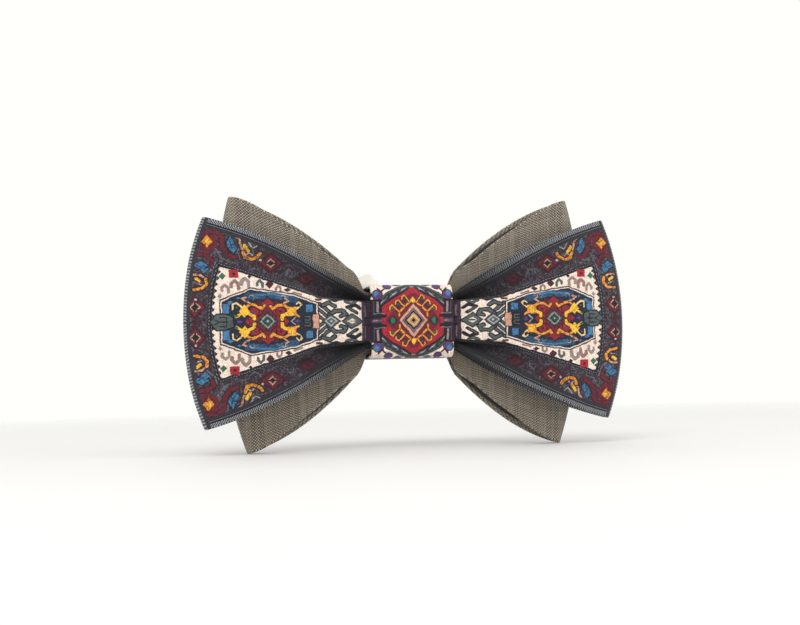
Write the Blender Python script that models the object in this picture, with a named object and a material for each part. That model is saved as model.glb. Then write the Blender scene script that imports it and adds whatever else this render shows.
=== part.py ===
"""Pre-tied double bow tie.

Two cloth loops, a wrapped knot band and a folded neck strap with a hook, a slide and an eye.

Frame: X along the bow, Z up the bow, Y from the front of the knot to its back. The layers below are
given along Y from the front bow; at the end everything moves along Y so that the origin is the middle
of the whole tie.
"""

import math

import bmesh
import bpy
from mathutils import Matrix, Vector

MM = 0.001

# ---- layers through the knot, millimetres along Y ----
CLOTH_T = 0.8
INTERLINING_T = 0.6
PLY_GAP = 0.3
FRONT_BOW_Y = -0.3  # middle of the front loop at the waist
REAR_BOW_Y = 4.0  # middle of the rear loop at the waist
WAIST_PLY_SPREAD = 3.2  # between the mid surfaces of a loop's two plies at the waist

# ---- bows, millimetres ----
KNOT_HALF_W = 11.3
KNOT_HALF_H = 9.9
WAIST_HALF_H = 6.6  # half height of both loops where the thread gathers them
FOLD_R = 2.0  # mid-surface radius of the fold at a wing's outer edge
# Distances from the middle where a loop always has vertices, so that it clears the knot band's edge.
WAIST_STATIONS = [0.0, 6.0, 11.4, 12.6, 14.2]
WING_STEPS = 8
LOOP_FOLD_STEPS = 4

# ---- knot band, millimetres ----
KNOT_FRONT_Y = -5.1
KNOT_BACK_Y = 10.1
KNOT_CORNER_R = 2.6
KNOT_DOME = 1.3  # how far the front of the band stands out in the middle

# ---- neck strap, millimetres ----
STRAP_T = 0.8
STRAP_HALF_W = 7.5
STRAP_FOLD_X = 46.5
HOOK_FOLD_X = -40.0
HOOK_SLANT = math.radians(20.0)
HOOK_RUN_L = 18.6  # from the fold axis to the hook's bar
CENTRE_RUN_Y = 7.6
HOOK_RUN_Y = 11.1
SECOND_RUN_Y = 13.5
THIRD_RUN_Y = 14.7
RETURN_RUN_Y = 16.1
BAR_Y = 17.5  # middle of the eye plate and of the slide's centre bar
ADJUSTER_RUN_Y = 20.0
FOLD_GAP = 0.25  # each run stops this far short of its fold axis

# ---- strap hardware, millimetres ----
PLATE_T = 1.2
RAIL_IN = 7.9  # inside half width of the slide and of the eye's strap slot
RAIL_OUT = 9.4
SLIDE_X = 22.0
SLIDE_HALF_L = 6.0
SLIDE_BAR_W = 1.6
SLIDE_BACK_Y = 21.8
EYE_BAR_X = -17.0
EYE_TIP_X = -33.0
EYE_SLOT_L = 4.5
HOOK_T = 0.8
HOOK_HALF_W = 9.4
TONGUE_HALF_W = 3.3
HOOK_L = 17.0
HOOK_BAR_W = 1.2

# ---- threads, millimetres ----
THREAD_R = 0.25
TACK_R = 0.15


def clear_scene():
    """Remove what the start-up file holds."""
    for obj in list(bpy.data.objects):
        bpy.data.objects.remove(obj, do_unlink=True)


def material(name, colour, roughness, metallic=0.0):
    """A plain Principled material."""
    mat = bpy.data.materials.new(name)
    mat.use_nodes = True
    shader = mat.node_tree.nodes["Principled BSDF"]
    shader.inputs["Base Color"].default_value = (*colour, 1.0)
    shader.inputs["Roughness"].default_value = roughness
    shader.inputs["Metallic"].default_value = metallic
    mat.diffuse_color = (*colour, 1.0)
    return mat


def add_object(name, verts_mm, faces, mat, smooth=True):
    """One closed mesh object from vertices in millimetres, with its normals pointing out."""
    mesh = bpy.data.meshes.new(name)
    mesh.from_pydata([tuple(float(c) * MM for c in v) for v in verts_mm], [], faces)
    work = bmesh.new()
    work.from_mesh(mesh)
    bmesh.ops.recalc_face_normals(work, faces=work.faces)
    work.to_mesh(mesh)
    work.free()
    if smooth:
        mesh.polygons.foreach_set("use_smooth", [True] * len(mesh.polygons))
    mesh.materials.append(mat)
    obj = bpy.data.objects.new(name, mesh)
    bpy.context.collection.objects.link(obj)
    return obj


# ---------------------------------------------------------------- bow shapes


def ramp(value, low, high):
    """0 below low, 1 above high, smooth between."""
    t = min(max((value - low) / (high - low), 0.0), 1.0)
    return t * t * (3.0 - 2.0 * t)


def front_half_height(d):
    """Half height of the front bow at a distance d from the middle."""
    t = max(d - 12.0, 0.0) / 46.0
    return WAIST_HALF_H + 0.2 * ramp(d, 3.0, 11.0) + 21.2 * t * (1.5 - 0.5 * t)


def rear_half_height(d):
    """Half height of the rear bow at a distance d from the middle."""
    t = max(d - 11.3, 0.0) / 35.7
    waist = WAIST_HALF_H + 1.1 * ramp(d, 3.0, 10.4) + 3.4 * ramp(d, 10.6, 14.2)
    return waist + 23.4 * t * (1.7 - 0.7 * t)


def front_pleat_height(d):
    """Half height of the front bow's raised middle strip, which widens towards the outer edge."""
    return min(5.5 + 1.3 * ramp(d, 10.0, 26.0) + 8.8 * (max(d - 24.0, 0.0) / 30.0) ** 1.2, 16.5)


def rear_pleat_height(d):
    """Half height of the rear bow's middle strip."""
    return 0.5 * rear_half_height(d)


def front_ply_y(d, v):
    """Front mid surface of the front bow: a raised middle strip between two valleys near the knot."""
    body = 2.6 * ramp(d, 11.6, 16.0) + 2.6 * ramp(d, 14.0, 38.0) - 1.4 * ramp(d, 44.0, 58.0)
    valley = 3.2 * ramp(d, 11.6, 15.0) * (1.0 - ramp(d, 18.0, 42.0))
    dip = math.exp(-(((abs(v) - 0.62) / 0.13) ** 2))
    return FRONT_BOW_Y - WAIST_PLY_SPREAD / 2.0 - body + valley * dip


def front_back_y(d, v):
    """Rear mid surface of the front bow."""
    return FRONT_BOW_Y + WAIST_PLY_SPREAD / 2.0 - 2.9 * ramp(d, 14.0, 58.0)


def rear_ply_y(d, v):
    """Front mid surface of the rear bow."""
    return REAR_BOW_Y - WAIST_PLY_SPREAD / 2.0 - 1.2 * ramp(d, 14.0, 40.0) * (1.0 - 0.5 * abs(v))


def rear_back_y(d, v):
    """Rear mid surface of the rear bow."""
    return REAR_BOW_Y + WAIST_PLY_SPREAD / 2.0 - 0.6 * ramp(d, 14.0, 48.0)


FRONT_BOW = {
    "half_height": front_half_height,
    "pleat_height": front_pleat_height,
    "front": front_ply_y,
    "back": front_back_y,
    "corner_x": 55.0,
    "bulge": 5.0,
    "drawn_in": 0.5,
}
REAR_BOW = {
    "half_height": rear_half_height,
    "pleat_height": rear_pleat_height,
    "front": rear_ply_y,
    "back": rear_back_y,
    "corner_x": 45.0,
    "bulge": 5.0,
    "drawn_in": 2.2,
}
# Fractions across a ply where a loop gets a line of vertices.
# The interlining stops short of the cloth's edge.
HALF_ACROSS = [0.18, 0.36, 0.5, 0.62, 0.74, 0.86]
CLOTH_EDGE = 1.0
INTERLINING_EDGE = 0.95


def height_at(bow, d, v, drawn_in=0.0):
    """Z of a ply at distance d and fraction v across; half of v is the middle strip.

    The front ply's edges are drawn in part way along the wing, so the ply behind shows past them.
    """
    drawn = drawn_in * ramp(d, 12.0, 20.0) * (1.0 - ramp(d, 28.0, bow["corner_x"] - 2.0))
    full, strip = bow["half_height"](d) - drawn, bow["pleat_height"](d)
    strip = min(strip, 0.86 * full)
    a = abs(v)
    z = strip * a / 0.5 if a <= 0.5 else strip + (full - strip) * (a - 0.5) / 0.5
    return math.copysign(z, v)


def loop_line(bow, v, offset):
    """Closed plan-view line of a loop at fraction v, moved outwards from its mid surface by offset."""
    edge = height_at(bow, bow["corner_x"], v) / bow["half_height"](bow["corner_x"])
    reach = bow["corner_x"] + bow["bulge"] * (1.0 - edge * edge)
    stop = reach - FOLD_R
    front_stop, back_stop = bow["front"](stop, v), bow["back"](stop, v)
    fold_y = (front_stop + back_stop) / 2.0
    last = WAIST_STATIONS[-1]
    stations = WAIST_STATIONS + [last + (stop - last) * i / WING_STEPS for i in range(1, WING_STEPS + 1)]
    half = []
    for d in stations:
        blend = ramp(d, stop - 12.0, stop)
        y = bow["front"](d, v) * (1.0 - blend) + (fold_y - FOLD_R) * blend
        half.append((d, y - offset, height_at(bow, d, v, bow["drawn_in"])))
    for i in range(1, LOOP_FOLD_STEPS):
        angle = math.pi * i / LOOP_FOLD_STEPS
        r = FOLD_R + offset
        half.append((stop + r * math.sin(angle), fold_y - r * math.cos(angle), height_at(bow, stop, v)))
    for d in reversed(stations):
        blend = ramp(d, stop - 12.0, stop)
        y = bow["back"](d, v) * (1.0 - blend) + (fold_y + FOLD_R) * blend
        half.append((d, y + offset, height_at(bow, d, v)))
    mirrored = [(-x, y, z) for x, y, z in reversed(half[1:-1])]
    return half + mirrored


def add_loop(name, bow, inner, outer, edge, mat):
    """A bow's ring of cloth between two offsets from its mid surface, open at top and bottom."""
    half = HALF_ACROSS + [edge]
    fractions = [-v for v in reversed(half)] + [0.0] + half
    outside = [loop_line(bow, v, outer) for v in fractions]
    inside = [loop_line(bow, v, inner) for v in fractions]
    rows, count = len(fractions), len(outside[0])
    verts = [p for line in outside for p in line] + [p for line in inside for p in line]
    faces = []
    for c in range(count):
        after = (c + 1) % count
        for r in range(rows - 1):
            for layer in (0, rows * count):
                a, b = layer + r * count + c, layer + r * count + after
                faces += [(a, b, b + count), (a, b + count, a + count)]
        for r in (0, rows - 1):
            a, b = r * count + c, r * count + after
            faces.append((a, b, b + rows * count, a + rows * count))
    return add_object(name, verts, faces, mat)


# ---------------------------------------------------------------- tubes and rings


def add_tube(name, path, radius, mat, sides=6):
    """A round thread along an open path of points in millimetres, capped at both ends."""
    points = [Vector(p) for p in path]
    verts, faces = [], []
    normal = Vector((0.0, 0.0, 1.0))
    for i, point in enumerate(points):
        ahead = points[min(i + 1, len(points) - 1)] - points[max(i - 1, 0)]
        ahead.normalize()
        normal = normal - ahead * normal.dot(ahead)
        if normal.length < 1e-6:
            normal = ahead.orthogonal()
        normal.normalize()
        side = ahead.cross(normal)
        for k in range(sides):
            angle = 2.0 * math.pi * k / sides
            verts.append(point + (normal * math.cos(angle) + side * math.sin(angle)) * radius)
    for i in range(len(points) - 1):
        for k in range(sides):
            a, b = i * sides + k, i * sides + (k + 1) % sides
            faces.append((a, b, b + sides, a + sides))
    faces.append(tuple(range(sides)))
    faces.append(tuple(reversed(range((len(points) - 1) * sides, len(points) * sides))))
    return add_object(name, verts, faces, mat)


def rounded_ring(front_y, back_y, half_h, radius, corner_steps):
    """Points (y, z) round a rounded rectangle."""
    points = []
    corners = [(back_y - radius, half_h - radius, 0.0), (front_y + radius, half_h - radius, 90.0),
               (front_y + radius, radius - half_h, 180.0), (back_y - radius, radius - half_h, 270.0)]
    for y, z, start in corners:
        for i in range(corner_steps + 1):
            angle = math.radians(start + 90.0 * i / corner_steps)
            points.append((y + radius * math.cos(angle), z + radius * math.sin(angle)))
    return points


def add_band(name, inset, thickness, half_w, mat):
    """A band wrapped round the waist, domed at the front, with the given inset from the knot's outside."""
    stations = [-1.0, -0.8, -0.4, 0.0, 0.4, 0.8, 1.0]
    rings = []
    for depth in (inset, inset + thickness):
        for s in stations:
            ring = []
            shape = rounded_ring(KNOT_FRONT_Y + depth, KNOT_BACK_Y - depth, KNOT_HALF_H - depth,
                                 KNOT_CORNER_R - depth, 4)
            for y, z in subdivide(shape, 3.0):
                dome = KNOT_DOME * (1.0 - s * s) * max(0.0, 1.0 - (z / KNOT_HALF_H) ** 2)
                ring.append((s * half_w, y - dome if y < KNOT_FRONT_Y + depth + 0.01 else y, z))
            rings.append(ring)
    count, across = len(rings[0]), len(stations)
    verts = [p for ring in rings for p in ring]
    faces = []
    for c in range(count):
        after = (c + 1) % count
        for r in range(across - 1):
            for layer in (0, across * count):
                a, b = layer + r * count + c, layer + r * count + after
                faces.append((a, b, b + count, a + count))
        for r in (0, across - 1):
            a, b = r * count + c, r * count + after
            faces.append((a, b, b + across * count, a + across * count))
    return add_object(name, verts, faces, mat)


def subdivide(points, longest):
    """Split a closed line's long straight sides."""
    out = []
    for i, (y, z) in enumerate(points):
        ny, nz = points[(i + 1) % len(points)]
        parts = max(1, math.ceil(math.hypot(ny - y, nz - z) / longest))
        out += [(y + (ny - y) * k / parts, z + (nz - z) * k / parts) for k in range(parts)]
    return out


# ---------------------------------------------------------------- neck strap


def side_line(path, offset):
    """A path of (s, y) points moved sideways by offset, with mitred corners."""
    points = [Vector(p) for p in path]
    out = []
    for i, point in enumerate(points):
        before = (point - points[i - 1]).normalized() if i else None
        after = (points[i + 1] - point).normalized() if i + 1 < len(points) else None
        before, after = before or after, after or before
        normal = Vector((-before.y - after.y, before.x + after.x)).normalized()
        out.append(point + normal * (offset / normal.dot(Vector((-before.y, before.x)))))
    return out


def add_ribbon(name, path, mat, start=(0.0, 0.0), slant=0.0, start_lean=0.0):
    """A flat ribbon along a path of (s, y).

    s runs from start at an angle in XZ, and the ribbon's first edge can lean.
    """
    left, right = side_line(path, STRAP_T / 2.0), side_line(path, -STRAP_T / 2.0)
    outline = left + list(reversed(right))
    first = (0, len(outline) - 1)
    verts = []
    for across in (-STRAP_HALF_W, STRAP_HALF_W):
        for i, (s, y) in enumerate(outline):
            along = s + (across * math.tan(start_lean) if i in first else 0.0)
            verts.append((start[0] + along * math.cos(slant) - across * math.sin(slant), y,
                          start[1] + along * math.sin(slant) + across * math.cos(slant)))
    n = len(outline)
    faces = [tuple(range(n)), tuple(reversed(range(n, 2 * n)))]
    faces += [(i, (i + 1) % n, n + (i + 1) % n, n + i) for i in range(n)]
    return add_object(name, verts, faces, mat, smooth=False)


def wrapped_end(run_y, bar_s, bar_half, bar_y, bar_t, reach):
    """The end of a run that passes a bar, turns round it and comes back, as (s, y) points."""
    clear = 0.3 + STRAP_T / 2.0
    near, far = bar_s - bar_half, bar_s + bar_half
    low, high = bar_y - bar_t / 2.0 - clear, bar_y + bar_t / 2.0 + clear
    run_down = near - 2.5
    points = [(run_down - 1.0, run_y), (run_down, run_y)] if abs(run_y - low) > 0.01 else []
    return points + [(near, low), (far + clear * 0.6, low), (far + clear, low + clear * 0.4),
                     (far + clear, high - clear * 0.4), (far + clear * 0.6, high), (near, high),
                     (near - reach, high)]


def set_origin(obj, point_mm):
    """Move an object's origin to a point without moving its mesh in the world."""
    point = Vector(point_mm) * MM
    obj.data.transform(Matrix.Translation(-point))
    obj.location = point


def add_plate(name, outline, y_low, y_high, mat):
    """A flat plate from an outline of (x, z) points."""
    n = len(outline)
    verts = [(x, y_low, z) for x, z in outline] + [(x, y_high, z) for x, z in outline]
    faces = [tuple(range(n)), tuple(reversed(range(n, 2 * n)))]
    faces += [(i, (i + 1) % n, n + (i + 1) % n, n + i) for i in range(n)]
    return add_object(name, verts, faces, mat, smooth=False)


def combine(target, other, operation):
    """Apply an exact boolean and remove the tool object."""
    modifier = target.modifiers.new(operation.lower(), "BOOLEAN")
    modifier.operation = operation
    modifier.solver = "EXACT"
    modifier.object = other
    bpy.context.view_layer.update()
    graph = bpy.context.evaluated_depsgraph_get()
    mesh = bpy.data.meshes.new_from_object(target.evaluated_get(graph))
    target.modifiers.clear()
    target.data = mesh
    bpy.data.objects.remove(other, do_unlink=True)


def box_outline(x_low, x_high, z_low, z_high):
    """The four corners of a rectangle."""
    return [(x_low, z_low), (x_high, z_low), (x_high, z_high), (x_low, z_high)]


def add_slide(mat):
    """The adjuster: an outer frame behind the strap, two rails and a centre bar in front of it."""
    x_low, x_high = SLIDE_X - SLIDE_HALF_L, SLIDE_X + SLIDE_HALF_L
    bar_low, bar_high = BAR_Y - PLATE_T / 2.0, BAR_Y + PLATE_T / 2.0
    outside = box_outline(x_low, x_high, -RAIL_OUT, RAIL_OUT)
    frame = add_plate("adjuster_slide", outside, bar_low, SLIDE_BACK_Y, mat)
    window = box_outline(x_low + SLIDE_BAR_W, x_high - SLIDE_BAR_W, -RAIL_IN, RAIL_IN)
    combine(frame, add_plate("window", window, bar_low - 1.0, SLIDE_BACK_Y + 1.0, mat), "DIFFERENCE")
    pass_low, pass_high = bar_low - 1.0, ADJUSTER_RUN_Y + STRAP_T / 2.0 + 0.4
    strap_pass = box_outline(x_low - 1.0, x_high + 1.0, -RAIL_IN, RAIL_IN)
    combine(frame, add_plate("strap_pass", strap_pass, pass_low, pass_high, mat), "DIFFERENCE")
    bar = box_outline(SLIDE_X - SLIDE_BAR_W / 2.0, SLIDE_X + SLIDE_BAR_W / 2.0, -RAIL_IN - 0.7, RAIL_IN + 0.7)
    combine(frame, add_plate("bar", bar, bar_low, bar_high, mat), "UNION")
    return frame


def add_eye(mat):
    """The eye: a plate with a wide slot for the strap and a smaller opening for the hook."""
    outline = [(EYE_BAR_X + 1.6, -RAIL_OUT), (EYE_BAR_X + 1.6, RAIL_OUT)]
    for i in range(9):
        angle = math.radians(70.0 - 140.0 * i / 8.0)
        outline.append((EYE_TIP_X + 6.5 - 6.5 * math.cos(angle), 6.5 * math.sin(angle)))
    outline.insert(2, (EYE_BAR_X - EYE_SLOT_L - 1.0, RAIL_OUT))
    outline.append((EYE_BAR_X - EYE_SLOT_L - 1.0, -RAIL_OUT))
    low, high = BAR_Y - PLATE_T / 2.0, BAR_Y + PLATE_T / 2.0
    plate = add_plate("eye", outline, low, high, mat)
    slot = box_outline(EYE_BAR_X - EYE_SLOT_L, EYE_BAR_X, -RAIL_IN, RAIL_IN)
    combine(plate, add_plate("slot", slot, low - 1.0, high + 1.0, mat), "DIFFERENCE")
    hole = [(EYE_TIP_X + 6.4 + 4.2 * math.cos(a), 4.2 * math.sin(a))
            for a in (2.0 * math.pi * i / 16 for i in range(16))]
    combine(plate, add_plate("hole", hole, low - 1.0, high + 1.0, mat), "DIFFERENCE")
    return plate


def add_hook(mat):
    """The hook: a slotted plate that narrows to a tongue folded back on itself."""
    low = HOOK_RUN_Y - HOOK_T / 2.0
    high = low + HOOK_T
    tip = HOOK_L - TONGUE_HALF_W
    outline = [(0.0, -HOOK_HALF_W), (4.6, -HOOK_HALF_W), (8.4, -TONGUE_HALF_W)]
    for i in range(9):
        angle = math.radians(-90.0 + 180.0 * i / 8.0)
        outline.append((tip + TONGUE_HALF_W * math.cos(angle), TONGUE_HALF_W * math.sin(angle)))
    outline += [(8.4, TONGUE_HALF_W), (4.6, HOOK_HALF_W), (0.0, HOOK_HALF_W)]
    plate = add_plate("hook", outline, low, high, mat)
    slot = box_outline(1.2, 3.4, -RAIL_IN, RAIL_IN)
    combine(plate, add_plate("slot", slot, low - 1.0, high + 1.0, mat), "DIFFERENCE")
    rise = box_outline(tip, HOOK_L - 1.2, -1.6, 1.6)
    combine(plate, add_plate("rise", rise, high - 0.3, high + 0.9, mat), "UNION")
    lip = box_outline(tip - 4.0, HOOK_L - 1.2, -1.6, 1.6)
    combine(plate, add_plate("lip", lip, high + 0.5, high + 1.1, mat), "UNION")
    turn = Matrix.Rotation(-HOOK_SLANT, 4, "Y")
    start = hook_run_point(HOOK_RUN_L)
    plate.data.transform(Matrix.Translation(Vector((start[0], 0.0, start[1])) * MM) @ turn)
    return plate


def hook_run_point(distance):
    """A point (x, z) on the middle line of the hook run, at a distance from its fold axis."""
    return (HOOK_FOLD_X + distance * math.cos(HOOK_SLANT), distance * math.sin(HOOK_SLANT))


def add_zigzag(name, start, step, count, half_w, y, mat, slant=0.0):
    """A zigzag of thread lying flat at depth y."""
    path = []
    for i in range(count):
        along = i * step
        across = half_w if i % 2 else -half_w
        path.append((start[0] + along * math.cos(slant) - across * math.sin(slant), y,
                     start[1] + along * math.sin(slant) + across * math.cos(slant)))
    return add_tube(name, path, TACK_R, mat)


def add_binding(mat):
    """The waist thread: four turns wound round both bows under the knot band."""
    half_h = WAIST_HALF_H + 0.3 + THREAD_R
    front = FRONT_BOW_Y - WAIST_PLY_SPREAD / 2.0 - CLOTH_T / 2.0 - 0.3 - THREAD_R
    back = REAR_BOW_Y + WAIST_PLY_SPREAD / 2.0 + CLOTH_T / 2.0 + 0.3 + THREAD_R
    turn = rounded_ring(front, back, half_h, 0.8, 3)
    turns, path = 4, []
    for lap in range(turns):
        for i, (y, z) in enumerate(turn):
            path.append((-2.4 + 1.2 * (lap + i / len(turn)), y, z))
    return add_tube("waist_binding_thread", path, THREAD_R, mat)


def group(members, point_mm):
    """Put the first object's origin on its joint and let the others ride on it."""
    lead = members[0]
    set_origin(lead, point_mm)
    bpy.context.view_layer.update()
    for obj in members[1:]:
        obj.parent = lead
        obj.matrix_parent_inverse = lead.matrix_world.inverted()


def flat_path(length, y):
    """A straight path of (s, y)."""
    return [(0.0, y), (length, y)]


def build_bow(print_cloth, taupe, stiffener, thread):
    """The two loops, the thread that gathers them and the band over it: one rigid body."""
    face = CLOTH_T / 2.0
    core_out = -face - PLY_GAP
    core_in = core_out - INTERLINING_T
    for name, bow, cloth, middle_y in (("front", FRONT_BOW, print_cloth, FRONT_BOW_Y),
                                       ("rear", REAR_BOW, taupe, REAR_BOW_Y)):
        add_loop(f"{name}_bow_cloth", bow, -face, face, CLOTH_EDGE, cloth)
        add_loop(f"{name}_bow_interlining", bow, core_in, core_out, INTERLINING_EDGE, stiffener)
        add_zigzag(f"{name}_bow_tack_stitches", (-3.6, 0.0), 1.2, 7, 0.6, middle_y, thread)
    add_binding(thread)
    add_band("knot_band_cloth", 0.0, CLOTH_T, KNOT_HALF_W, print_cloth)
    add_band("knot_band_interlining", CLOTH_T + PLY_GAP, INTERLINING_T, KNOT_HALF_W - 0.8, stiffener)
    add_zigzag("knot_closing_stitches", (-7.0, 0.0), 1.4, 11, 0.7, KNOT_BACK_Y + 0.05 + TACK_R, thread)


def build_hook_end(strap, metal, thread):
    """The strap's left end: a run folded back and up, wrapped round the hook's bar and stitched."""
    bar_s = HOOK_RUN_L + HOOK_BAR_W / 2.0
    path = [(FOLD_GAP, HOOK_RUN_Y)]
    path += wrapped_end(HOOK_RUN_Y, bar_s, HOOK_BAR_W / 2.0, HOOK_RUN_Y, HOOK_T, 2.6)
    run = add_ribbon("strap_hook_run", path, strap, start=(HOOK_FOLD_X, 0.0), slant=HOOK_SLANT,
                     start_lean=HOOK_SLANT / 2.0)
    hook = add_hook(metal)
    seam_s = HOOK_RUN_L - 2.0
    seam_y = HOOK_RUN_Y - HOOK_T / 2.0 - 0.3 - STRAP_T - 0.05 - TACK_R
    seam_start = (HOOK_FOLD_X + seam_s * math.cos(HOOK_SLANT) + 6.3 * math.sin(HOOK_SLANT),
                  seam_s * math.sin(HOOK_SLANT) - 6.3 * math.cos(HOOK_SLANT))
    across = HOOK_SLANT + math.pi / 2.0
    stitches = add_zigzag("hook_stitches", seam_start, 1.05, 13, 0.5, seam_y, thread, slant=across)
    group([run, hook, stitches], (HOOK_FOLD_X, (CENTRE_RUN_Y + HOOK_RUN_Y) / 2.0, 0.0))


def build_adjuster_end(strap, metal, thread):
    """The strap's right end: the last run, its return sewn to the slide, and the eye between them."""
    inner_x = STRAP_FOLD_X - FOLD_GAP
    loop_x = EYE_BAR_X - 1.0
    run_path = flat_path(inner_x - loop_x, ADJUSTER_RUN_Y)
    run = add_ribbon("strap_adjuster_run", run_path, strap, start=(loop_x, 0.0))
    path = [(0.0, RETURN_RUN_Y)]
    path += wrapped_end(RETURN_RUN_Y, SLIDE_X - loop_x, SLIDE_BAR_W / 2.0, BAR_Y, PLATE_T, 3.4)
    returned = add_ribbon("strap_return_run", path, strap, start=(loop_x, 0.0))
    seam_y = RETURN_RUN_Y - STRAP_T / 2.0 - 0.05 - TACK_R
    seam_start = (SLIDE_X - 3.4, -6.3)
    stitches = add_zigzag("slide_stitches", seam_start, 1.05, 13, 0.5, seam_y, thread, slant=math.pi / 2.0)
    group([run], (STRAP_FOLD_X, (THIRD_RUN_Y + ADJUSTER_RUN_Y) / 2.0, 0.0))
    group([add_slide(metal), returned, stitches], (SLIDE_X, BAR_Y, 0.0))
    group([add_eye(metal)], (EYE_BAR_X, BAR_Y, 0.0))


def build_strap(strap, metal, thread):
    """The neck strap, run by run between its folds, each on its own fold axis."""
    inner_x = STRAP_FOLD_X - FOLD_GAP
    start_x = HOOK_FOLD_X + FOLD_GAP
    centre = add_ribbon("strap_centre_run", flat_path(inner_x - start_x, CENTRE_RUN_Y), strap,
                        start=(start_x, 0.0), start_lean=-HOOK_SLANT / 2.0)
    left = (-inner_x, 0.0)
    second = add_ribbon("strap_second_run", flat_path(2.0 * inner_x, SECOND_RUN_Y), strap, start=left)
    third = add_ribbon("strap_third_run", flat_path(2.0 * inner_x, THIRD_RUN_Y), strap, start=left)
    group([centre], (0.0, CENTRE_RUN_Y, 0.0))
    group([second], (STRAP_FOLD_X, (CENTRE_RUN_Y + SECOND_RUN_Y) / 2.0, 0.0))
    group([third], (-STRAP_FOLD_X, (SECOND_RUN_Y + THIRD_RUN_Y) / 2.0, 0.0))
    build_hook_end(strap, metal, thread)
    build_adjuster_end(strap, metal, thread)


def centre_depth():
    """Move everything along Y so that the origin is the middle of the depth."""
    bpy.context.view_layer.update()
    objects = list(bpy.context.scene.objects)
    depths = [(obj.matrix_world @ v.co).y for obj in objects for v in obj.data.vertices]
    middle = (min(depths) + max(depths)) / 2.0
    for obj in objects:
        if obj.parent is None:
            obj.location.y -= middle


def build():
    """The whole bow tie."""
    clear_scene()
    print_cloth = material("printed_cloth", (0.16, 0.06, 0.08), 0.8)
    taupe = material("taupe_cloth", (0.30, 0.26, 0.21), 0.85)
    stiffener = material("interlining", (0.09, 0.09, 0.10), 0.9)
    thread = material("thread", (0.12, 0.11, 0.11), 0.7)
    strap = material("strap_cloth", (0.28, 0.25, 0.21), 0.85)
    metal = material("nickel", (0.75, 0.74, 0.72), 0.25, 1.0)
    build_bow(print_cloth, taupe, stiffener, thread)
    build_strap(strap, metal, thread)
    centre_depth()


build()
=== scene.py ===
"""Looks of the pre-tied double bow tie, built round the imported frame.

Lengths are millimetres unless a name says otherwise. X runs along the bow and Z up. Y is depth, counted
here in the CAD's own layers: the bow's front is at negative depth and the strap's hardware at about 20.
SHIFT_Y turns a layer depth into the frame's Y.
"""

import inspect
import math
from functools import partial, partialmethod, reduce

import bmesh
import bpy
from mathutils import Matrix, Vector


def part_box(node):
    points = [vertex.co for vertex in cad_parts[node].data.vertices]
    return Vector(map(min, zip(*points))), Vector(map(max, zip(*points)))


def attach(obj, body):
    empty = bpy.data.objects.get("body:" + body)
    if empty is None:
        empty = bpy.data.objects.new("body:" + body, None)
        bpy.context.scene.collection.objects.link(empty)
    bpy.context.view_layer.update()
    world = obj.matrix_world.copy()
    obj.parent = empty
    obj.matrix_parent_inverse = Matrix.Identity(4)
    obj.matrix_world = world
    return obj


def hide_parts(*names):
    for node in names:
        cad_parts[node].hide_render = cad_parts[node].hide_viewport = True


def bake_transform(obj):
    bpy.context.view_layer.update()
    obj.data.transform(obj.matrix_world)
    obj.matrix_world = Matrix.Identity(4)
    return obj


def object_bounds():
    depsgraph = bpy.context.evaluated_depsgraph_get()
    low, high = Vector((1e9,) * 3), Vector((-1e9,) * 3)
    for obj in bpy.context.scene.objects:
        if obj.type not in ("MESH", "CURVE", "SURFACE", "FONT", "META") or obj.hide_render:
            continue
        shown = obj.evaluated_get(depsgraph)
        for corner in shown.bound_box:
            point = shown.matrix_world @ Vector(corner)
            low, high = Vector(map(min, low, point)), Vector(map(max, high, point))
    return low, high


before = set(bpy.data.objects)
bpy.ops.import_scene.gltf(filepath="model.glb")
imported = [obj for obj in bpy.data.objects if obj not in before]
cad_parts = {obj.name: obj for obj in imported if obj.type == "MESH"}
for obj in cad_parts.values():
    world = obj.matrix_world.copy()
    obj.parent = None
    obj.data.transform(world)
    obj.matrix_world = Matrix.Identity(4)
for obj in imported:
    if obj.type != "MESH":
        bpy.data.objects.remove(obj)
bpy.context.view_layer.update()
MM = 0.001

# ---- cloth and its layers ----
CLOTH_T = 0.8
INTERLINING_T = 0.6
PLY_GAP = 0.3
INTERLINING_EDGE = 0.95  # share of the cloth's half height

# ---- bows ----
FRONT_BOW_Y = -0.3
REAR_BOW_Y = 4.0
WAIST_PLY_SPREAD = 3.2
WAIST_HALF_H = 6.6
FOLD_R = 2.0
FOLD_EASE = 12.0  # length over which a ply comes in to meet its fold
WAIST_STATIONS = [0.0, 3.0, 6.0, 9.0, 11.4, 11.9, 12.5, 13.2, 14.2]
WING_STEPS = 40
FOLD_STEPS = 10
EDGE_STEPS = 4
PRINT_SHIFT = 1.5  # how far out the print lies on a wing, and how much flatter
PRINT_SQUASH = 0.96

# ---- knot band ----
KNOT_HALF_W = 11.3
KNOT_HALF_H = 9.9
KNOT_FRONT_Y = -5.1
KNOT_BACK_Y = 10.1
KNOT_CORNER_R = 2.6
KNOT_DOME = 1.3
KNOT_STEPS = 26
KNOT_FIRST_THREAD = (30.0, 2.0)  # where the counting of its threads starts
RIM_OUT = 0.35  # how far the band's turned sides round outwards

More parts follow.
